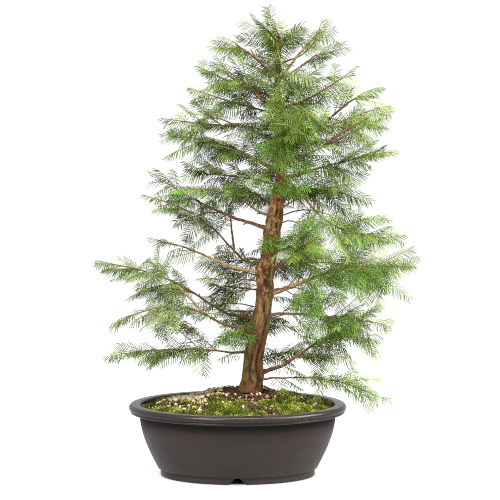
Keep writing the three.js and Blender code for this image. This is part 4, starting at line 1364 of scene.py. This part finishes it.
def leafy_twig(start, heading, beside, reach, fullness=1.0):
    """A twig with sprays to either side, and one at its tip that ends where it reaches."""
    across = level_plane(heading, beside)
    droop = rng.uniform(-0.06, 0.26)
    growth.mood = rng.normal(-growth.shade, 1.25)
    if reach < TWIG_LEAST:
        growth.spray(start, heading, across, reach, droop, 0.5)
        return
    last = min(reach * 0.84, rng.uniform(0.054, 0.086))
    wood = reach - last
    bend = 0.12 * droop * -UP + rng.normal(0, 0.08) * across
    steps = np.linspace(0, 1, 6)[:, None]
    line = start + wood * (steps * heading + steps**2 * bend)
    line[1:-1] += rng.normal(0, 0.0006, (4, 3))
    tone = BROWN if reach > BROWN_FROM else (GREEN if rng.uniform() < 0.5 else RED)
    growth.twig(line, *TWIG_RADII, tone)
    growth.spray(line[-1], unit(heading + 2 * bend), across, last, droop, 1.0)
    side_sprays(start, heading, across, reach, wood, droop, fullness)


def shoots_of(curve, spread, draw):
    """The CAD source's side shoots: where each leaves the stem, its heading and its reach."""
    first, last = GROWTH["first"], stem_end(curve) - GROWTH["end_free"]
    count = max(2, math.floor(curve.length() * (last - first) / GROWTH["pitch"] + 0.5))

    def play():
        return 2 * draw() - 1

    mass_roll = GROWTH["roll"] * play()
    found = []
    for k in range(count):
        along = (k + 0.5 + GROWTH["pitch_play"] * play()) / count
        share = lerp(first, last, along)
        side = 1 if k % 2 else -1
        angle = math.radians(GROWTH["forward"] + GROWTH["forward_play"] * play())
        roll = math.radians(mass_roll + GROWTH["roll_play"] * play())
        fullness = GROWTH["end_reach"] + GROWTH["belly"] * math.sin(math.pi * along)
        reach = spread * fullness * (1 + GROWTH["reach_play"] * play())
        tangent = curve.tangent(share)
        outward = turned(level_across(tangent), tangent, roll) * side
        found.append((curve.at(share), leaning(tangent, outward, angle), tangent, reach))
    return found


def outward_at(curve, share, k, play):
    """A curve's tangent, and a unit vector away from it to its left and right in turn."""
    tangent = curve.tangent(share)
    level = level_across(tangent) * (1 if k % 2 else -1)
    return tangent, turned(level, tangent, random_angle(0, play))


def finer_shoots(curve, spread, count):
    """More shoots between those of the CAD source, shorter and rolled all round the stem."""
    for k in range(count):
        share = lerp(0.04, 0.93, (k + rng.uniform(0.1, 0.9)) / count)
        tangent, outward = outward_at(curve, share, k, 50)
        heading = leaning(tangent, outward, math.radians(rng.uniform(38, 66)))
        taper = lerp(1.0, 0.62, share)
        yield curve.at(share), heading, tangent, spread * taper * rng.uniform(0.45, 0.92)


def grow_stem(curve, radius, tone):
    """A mass's own stem, and the spray at its end."""
    end = stem_end(curve) + 0.1
    shares = np.linspace(0, end, 14)
    wander = drift_at(curve.at(shares), 60) * 0.0012
    line = curve.at(shares) + wander * np.sin(shares / end * np.pi)[:, None]
    growth.twig(line, radius, 0.0010, tone)
    tip = line[-1]
    heading = unit(curve.end - tip)
    level = unit(np.cross(UP, heading) + 0.5 * UP)
    growth.spray(tip, heading, plane_of(heading, level), np.linalg.norm(curve.end - tip), 0.02, 1.0)


def grow_mass(name, start, set_off, radius, foliage, seed, tone):
    curve = stem_curve(start, set_off, foliage)
    growth.begin("foliage_" + name, curve.at(np.linspace(0, 1, 12)))
    for at, heading, beside, reach in shoots_of(curve, foliage.spread, seeded(seed)):
        along = np.linalg.norm(at - start) / np.linalg.norm(curve.end - start)
        leafy_twig(at, flattened(heading, start), beside, reach * (1 - END_TAPER * along**3))
    side = "low" if start[2] < FINER_LOW else "right" if curve.end[0] > start[0] else "left"
    count = round(curve.length() / FINER_PITCH[side])
    for at, heading, beside, reach in finer_shoots(curve, foliage.spread, count):
        leafy_twig(at, flattened(heading, start), beside, reach, 0.8)
    grow_stem(curve, radius, tone)


def masses():
    """Each mass: its name, where its stem starts and sets off, its radius, its foliage and its tone."""
    for name, bough in BOUGHS.items():
        curve = bough_curve(bough)
        yield name, curve.end, curve.tangent(1.0), bough.radius * BOUGH_TIP, bough.foliage, BROWN
    for name, stem in {**TRUNK_FOLIAGE, "top": TOP_FOLIAGE}.items():
        set_off = compass(stem.foliage.heading, stem.climb)
        tone = RED if name == "top" else BROWN
        yield name, trunk_at(stem.height)[0], set_off, stem.radius, stem.foliage, tone


def grow_bough_foliage(bough):
    """Short twigs along a bough's outer part."""
    curve, first = bough_curve(bough), LEAFY_FROM["high" if bough.height > HIGH_BOUGH else "low"]
    count = int(bough.reach * (1 - first) / BOUGH_PITCH)
    for k in range(count):
        share = lerp(first, 1.0, (k + rng.uniform(0.2, 0.8)) / count)
        tangent, outward = outward_at(curve, share, k, 45)
        reach = bough.foliage.spread * rng.uniform(0.55, 0.95)
        leafy_twig(curve.at(share), unit(tangent * 0.7 + outward), tangent, reach)


def grow_trunk_shoots():
    """Shoots straight from the upper trunk, which hide it."""
    growth.line = TRUNK_LINE
    low, high, count, turn = TRUNK_SHOOTS.values()
    for k in range(count):
        height = lerp(low, high, (k + rng.uniform(0, 1)) / count)
        middle, _ = trunk_at(min(height, TRUNK_TOP))
        heading = compass(k * turn + rng.normal(0, 15), rng.uniform(5, 55))
        reach = min(rng.uniform(0.055, 0.105), crown_half_width(height) * 0.8)
        leafy_twig(middle, heading, turned(level_across(heading), heading, rng.normal(0, 0.6)), reach)


def grow_tufts():
    for height, heading, length in TUFTS:
        middle, radius = trunk_at(height)
        out = compass(heading, rng.uniform(-5, 30))
        growth.spray(middle + compass(heading) * radius * 0.95, out, level_across(out), length, 0.35)


def grow_branch_foliage():
    """Leafy twigs on the outer part of each lesser branch."""
    for branch in BRANCHES:
        curve, first = branch_curve(branch), branch.leafy_from
        growth.line = curve.at(np.linspace(0, 1, 6))
        growth.shade = 1.0 if branch.bark == "dark" else 0.0
        steps = branch.length * (1 - first) / BRANCH_PITCH
        for k in range(round(steps)):
            share = lerp(first, 1.0, (k + rng.uniform(0.2, 0.9)) / steps)
            tangent, outward = outward_at(curve, share, k, 45)
            leafy_twig(curve.at(share), unit(tangent + 0.8 * outward), tangent, rng.uniform(0.034, 0.058))
        if first < 1:
            leafy_twig(curve.end, curve.tangent(1.0), UP, rng.uniform(0.034, 0.05))
    growth.shade = 0.0


def grow_fan(place, length):
    """A stem from the trunk, and sprays from its end that hang side by side."""
    place = np.array(place)
    start = trunk_at(min(place[2] - 0.010, TRUNK_TOP))[0]
    growth.line = np.linspace(start, place, 4)
    steps = np.linspace(0, 1, 7)[:, None]
    growth.twig(start + (place - start) * steps + 0.012 * np.sin(steps * np.pi) * UP, 0.0012, 0.0009, BROWN)
    high = place[2] > HIGH_FAN
    growth.vivid = -0.15 if high else 0.5
    for side in np.linspace(-FAN_TURN, FAN_TURN, FAN_SPRAYS):
        angle = random_angle(side, 8)
        heading = unit(np.array([math.sin(angle), -0.5 + rng.normal(0, 0.15), -0.75 * math.cos(angle)]))
        across = unit(np.cross(heading, (rng.normal(0, 0.2), -1.0, 0.5)))
        growth.mood = rng.normal(0.9 if high else 0.5, 0.7)
        growth.spray(place, heading, across, length * rng.uniform(0.8, 1.15), rng.uniform(0, 0.2), 1.0)
    growth.vivid = 0.0


def grow_crown_tips():
    start = trunk_at(TRUNK_TOP - 0.006)[0]
    growth.line = TRUNK_LINE
    for heading, climb, length in CROWN_TIPS:
        out = compass(heading, climb)
        growth.mood = rng.normal(0, 0.6)
        growth.spray(start, out, plane_of(out, np.array([0.3, 0.6, 1.0])), length, 0.3, 1.0)


def grow_all():
    """Grows the whole crown. The order decides every random draw, and so each spray's shape."""
    for index, (name, start, set_off, radius, foliage, tone) in enumerate(masses()):
        grow_mass(name, start, set_off, radius, foliage, GROWTH["seed"] + index, tone)
        if name in BOUGHS:
            grow_bough_foliage(BOUGHS[name])
    grow_branch_foliage()
    grow_trunk_shoots()
    grow_tufts()
    grow_crown_tips()
    for place, length in FANS:
        grow_fan(place, length)


def make_crown():
    grow_all()
    tints = palette("needles", [*TINTS, STALK], 0.6, 0.1)
    for number, (soup, nodes) in enumerate(growth.needles, 1):
        piece = soup.piece(f"needles_{number}", tints)
        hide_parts(*nodes)
    woods = [new_material("twig_brown", srgb(108, 80, 56), 0.7, 0.3),
             new_material("twig_red", srgb(112, 78, 54), 0.6, 0.3),
             new_material("twig_green", srgb(126, 130, 70), 0.6, 0.3)]
    growth.twigs.piece("twigs", woods, smooth=True)


# ---------------------------------------------------------------- studio

FLOOR_RADIUS = 2.2
FLOOR_GLOW, FLOOR_OVAL = 0.76, 1.36  # its strength, and how oval the part without it is
GLOW_INSETS = 0.072, 0.045  # how far inside the rim's half-width it starts and is full
LIGHTS = {  # where each is, its size and its power
    "key": ((-1.2, -1.8, 2.4), 1.0, 90),
    "top": ((0.3, -0.2, 3.2), 1.4, 70),
    "side": ((1.9, -0.5, 2.0), 1.5, 125),
}
LIT_HEIGHT = 0.35  # where the lights point


def make_camera():
    data = bpy.data.cameras.new("camera")
    data.sensor_width, data.lens = 36, CAMERA["lens"]
    data.clip_start, data.clip_end = 0.1, 60
    camera = linked(bpy.data.objects.new("camera", data))
    place = Vector(MIDDLE) + Vector((CAMERA["aside"], -CAMERA["distance"], CAMERA["height"]))
    target = Vector(MIDDLE) + Vector((CAMERA["aside"], 0, CAMERA["look"]))
    camera.location = place
    camera.rotation_euler = (target - place).to_track_quat("-Z", "Y").to_euler()
    bpy.context.scene.camera = camera


def area_light(name, place, size, power):
    data = bpy.data.lights.new(name, "AREA")
    data.shape, data.size, data.energy = "DISK", size, power
    light = linked(bpy.data.objects.new(name, data))
    light.location = place
    light.rotation_euler = (Vector((0, 0, LIT_HEIGHT)) - Vector(place)).to_track_quat("-Z", "Y").to_euler()


def floor_material():
    """A floor that is white largely by its own light, but not under the pot and close beside it."""
    made = new_material("studio_floor", grey(0.2), 0.9, 0.0)
    weave = Weave(made)
    centre = (-MIDDLE[0], -MIDDLE[1] * FLOOR_OVAL, 0)
    centred = weave.new("Mapping", Vector=weave.place, Location=centre, Scale=(1, FLOOR_OVAL, 0))
    away = weave.new("VectorMath", Vector=centred.outputs["Vector"])
    away.operation = "LENGTH"
    glow = weave.range(away.outputs["Value"], *(RIM_HALF_WIDTH - inset for inset in GLOW_INSETS))
    weave.set(weave.shader.inputs["Emission Color"], (1, 1, 1, 1))
    weave.set(weave.shader.inputs["Emission Strength"], weave.times(glow, FLOOR_GLOW))
    return made


def make_studio():
    scene = bpy.context.scene
    scene.view_settings.view_transform = "Standard"
    scene.cycles.use_denoising = False
    scene.cycles.filter_width = 1.1
    world = bpy.data.worlds.new("studio")
    world.use_nodes = True
    world.node_tree.nodes["Background"].inputs["Color"].default_value = (1, 1, 1, 1)
    world.node_tree.nodes["Background"].inputs["Strength"].default_value = 1.0
    scene.world = world
    bpy.ops.mesh.primitive_circle_add(vertices=96, radius=FLOOR_RADIUS, fill_type="NGON", location=(0, 0, 0))
    floor = bpy.context.object
    floor.name = "studio_floor"
    floor.data.materials.append(floor_material())
    floor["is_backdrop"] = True
    for name, (place, size, power) in LIGHTS.items():
        area_light(name, place, size, power)


def write_sizes():
    boxes = {"cad": CAD_BOX, "visual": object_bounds()}
    sizes = {name: [list(low), list(high)] for name, (low, high) in boxes.items()}


make_studio()
make_camera()
make_pot()
make_soil()
make_moss()
make_moss_leaves()
make_grit()
make_trunk()
make_boughs()
make_crown()
write_sizes()
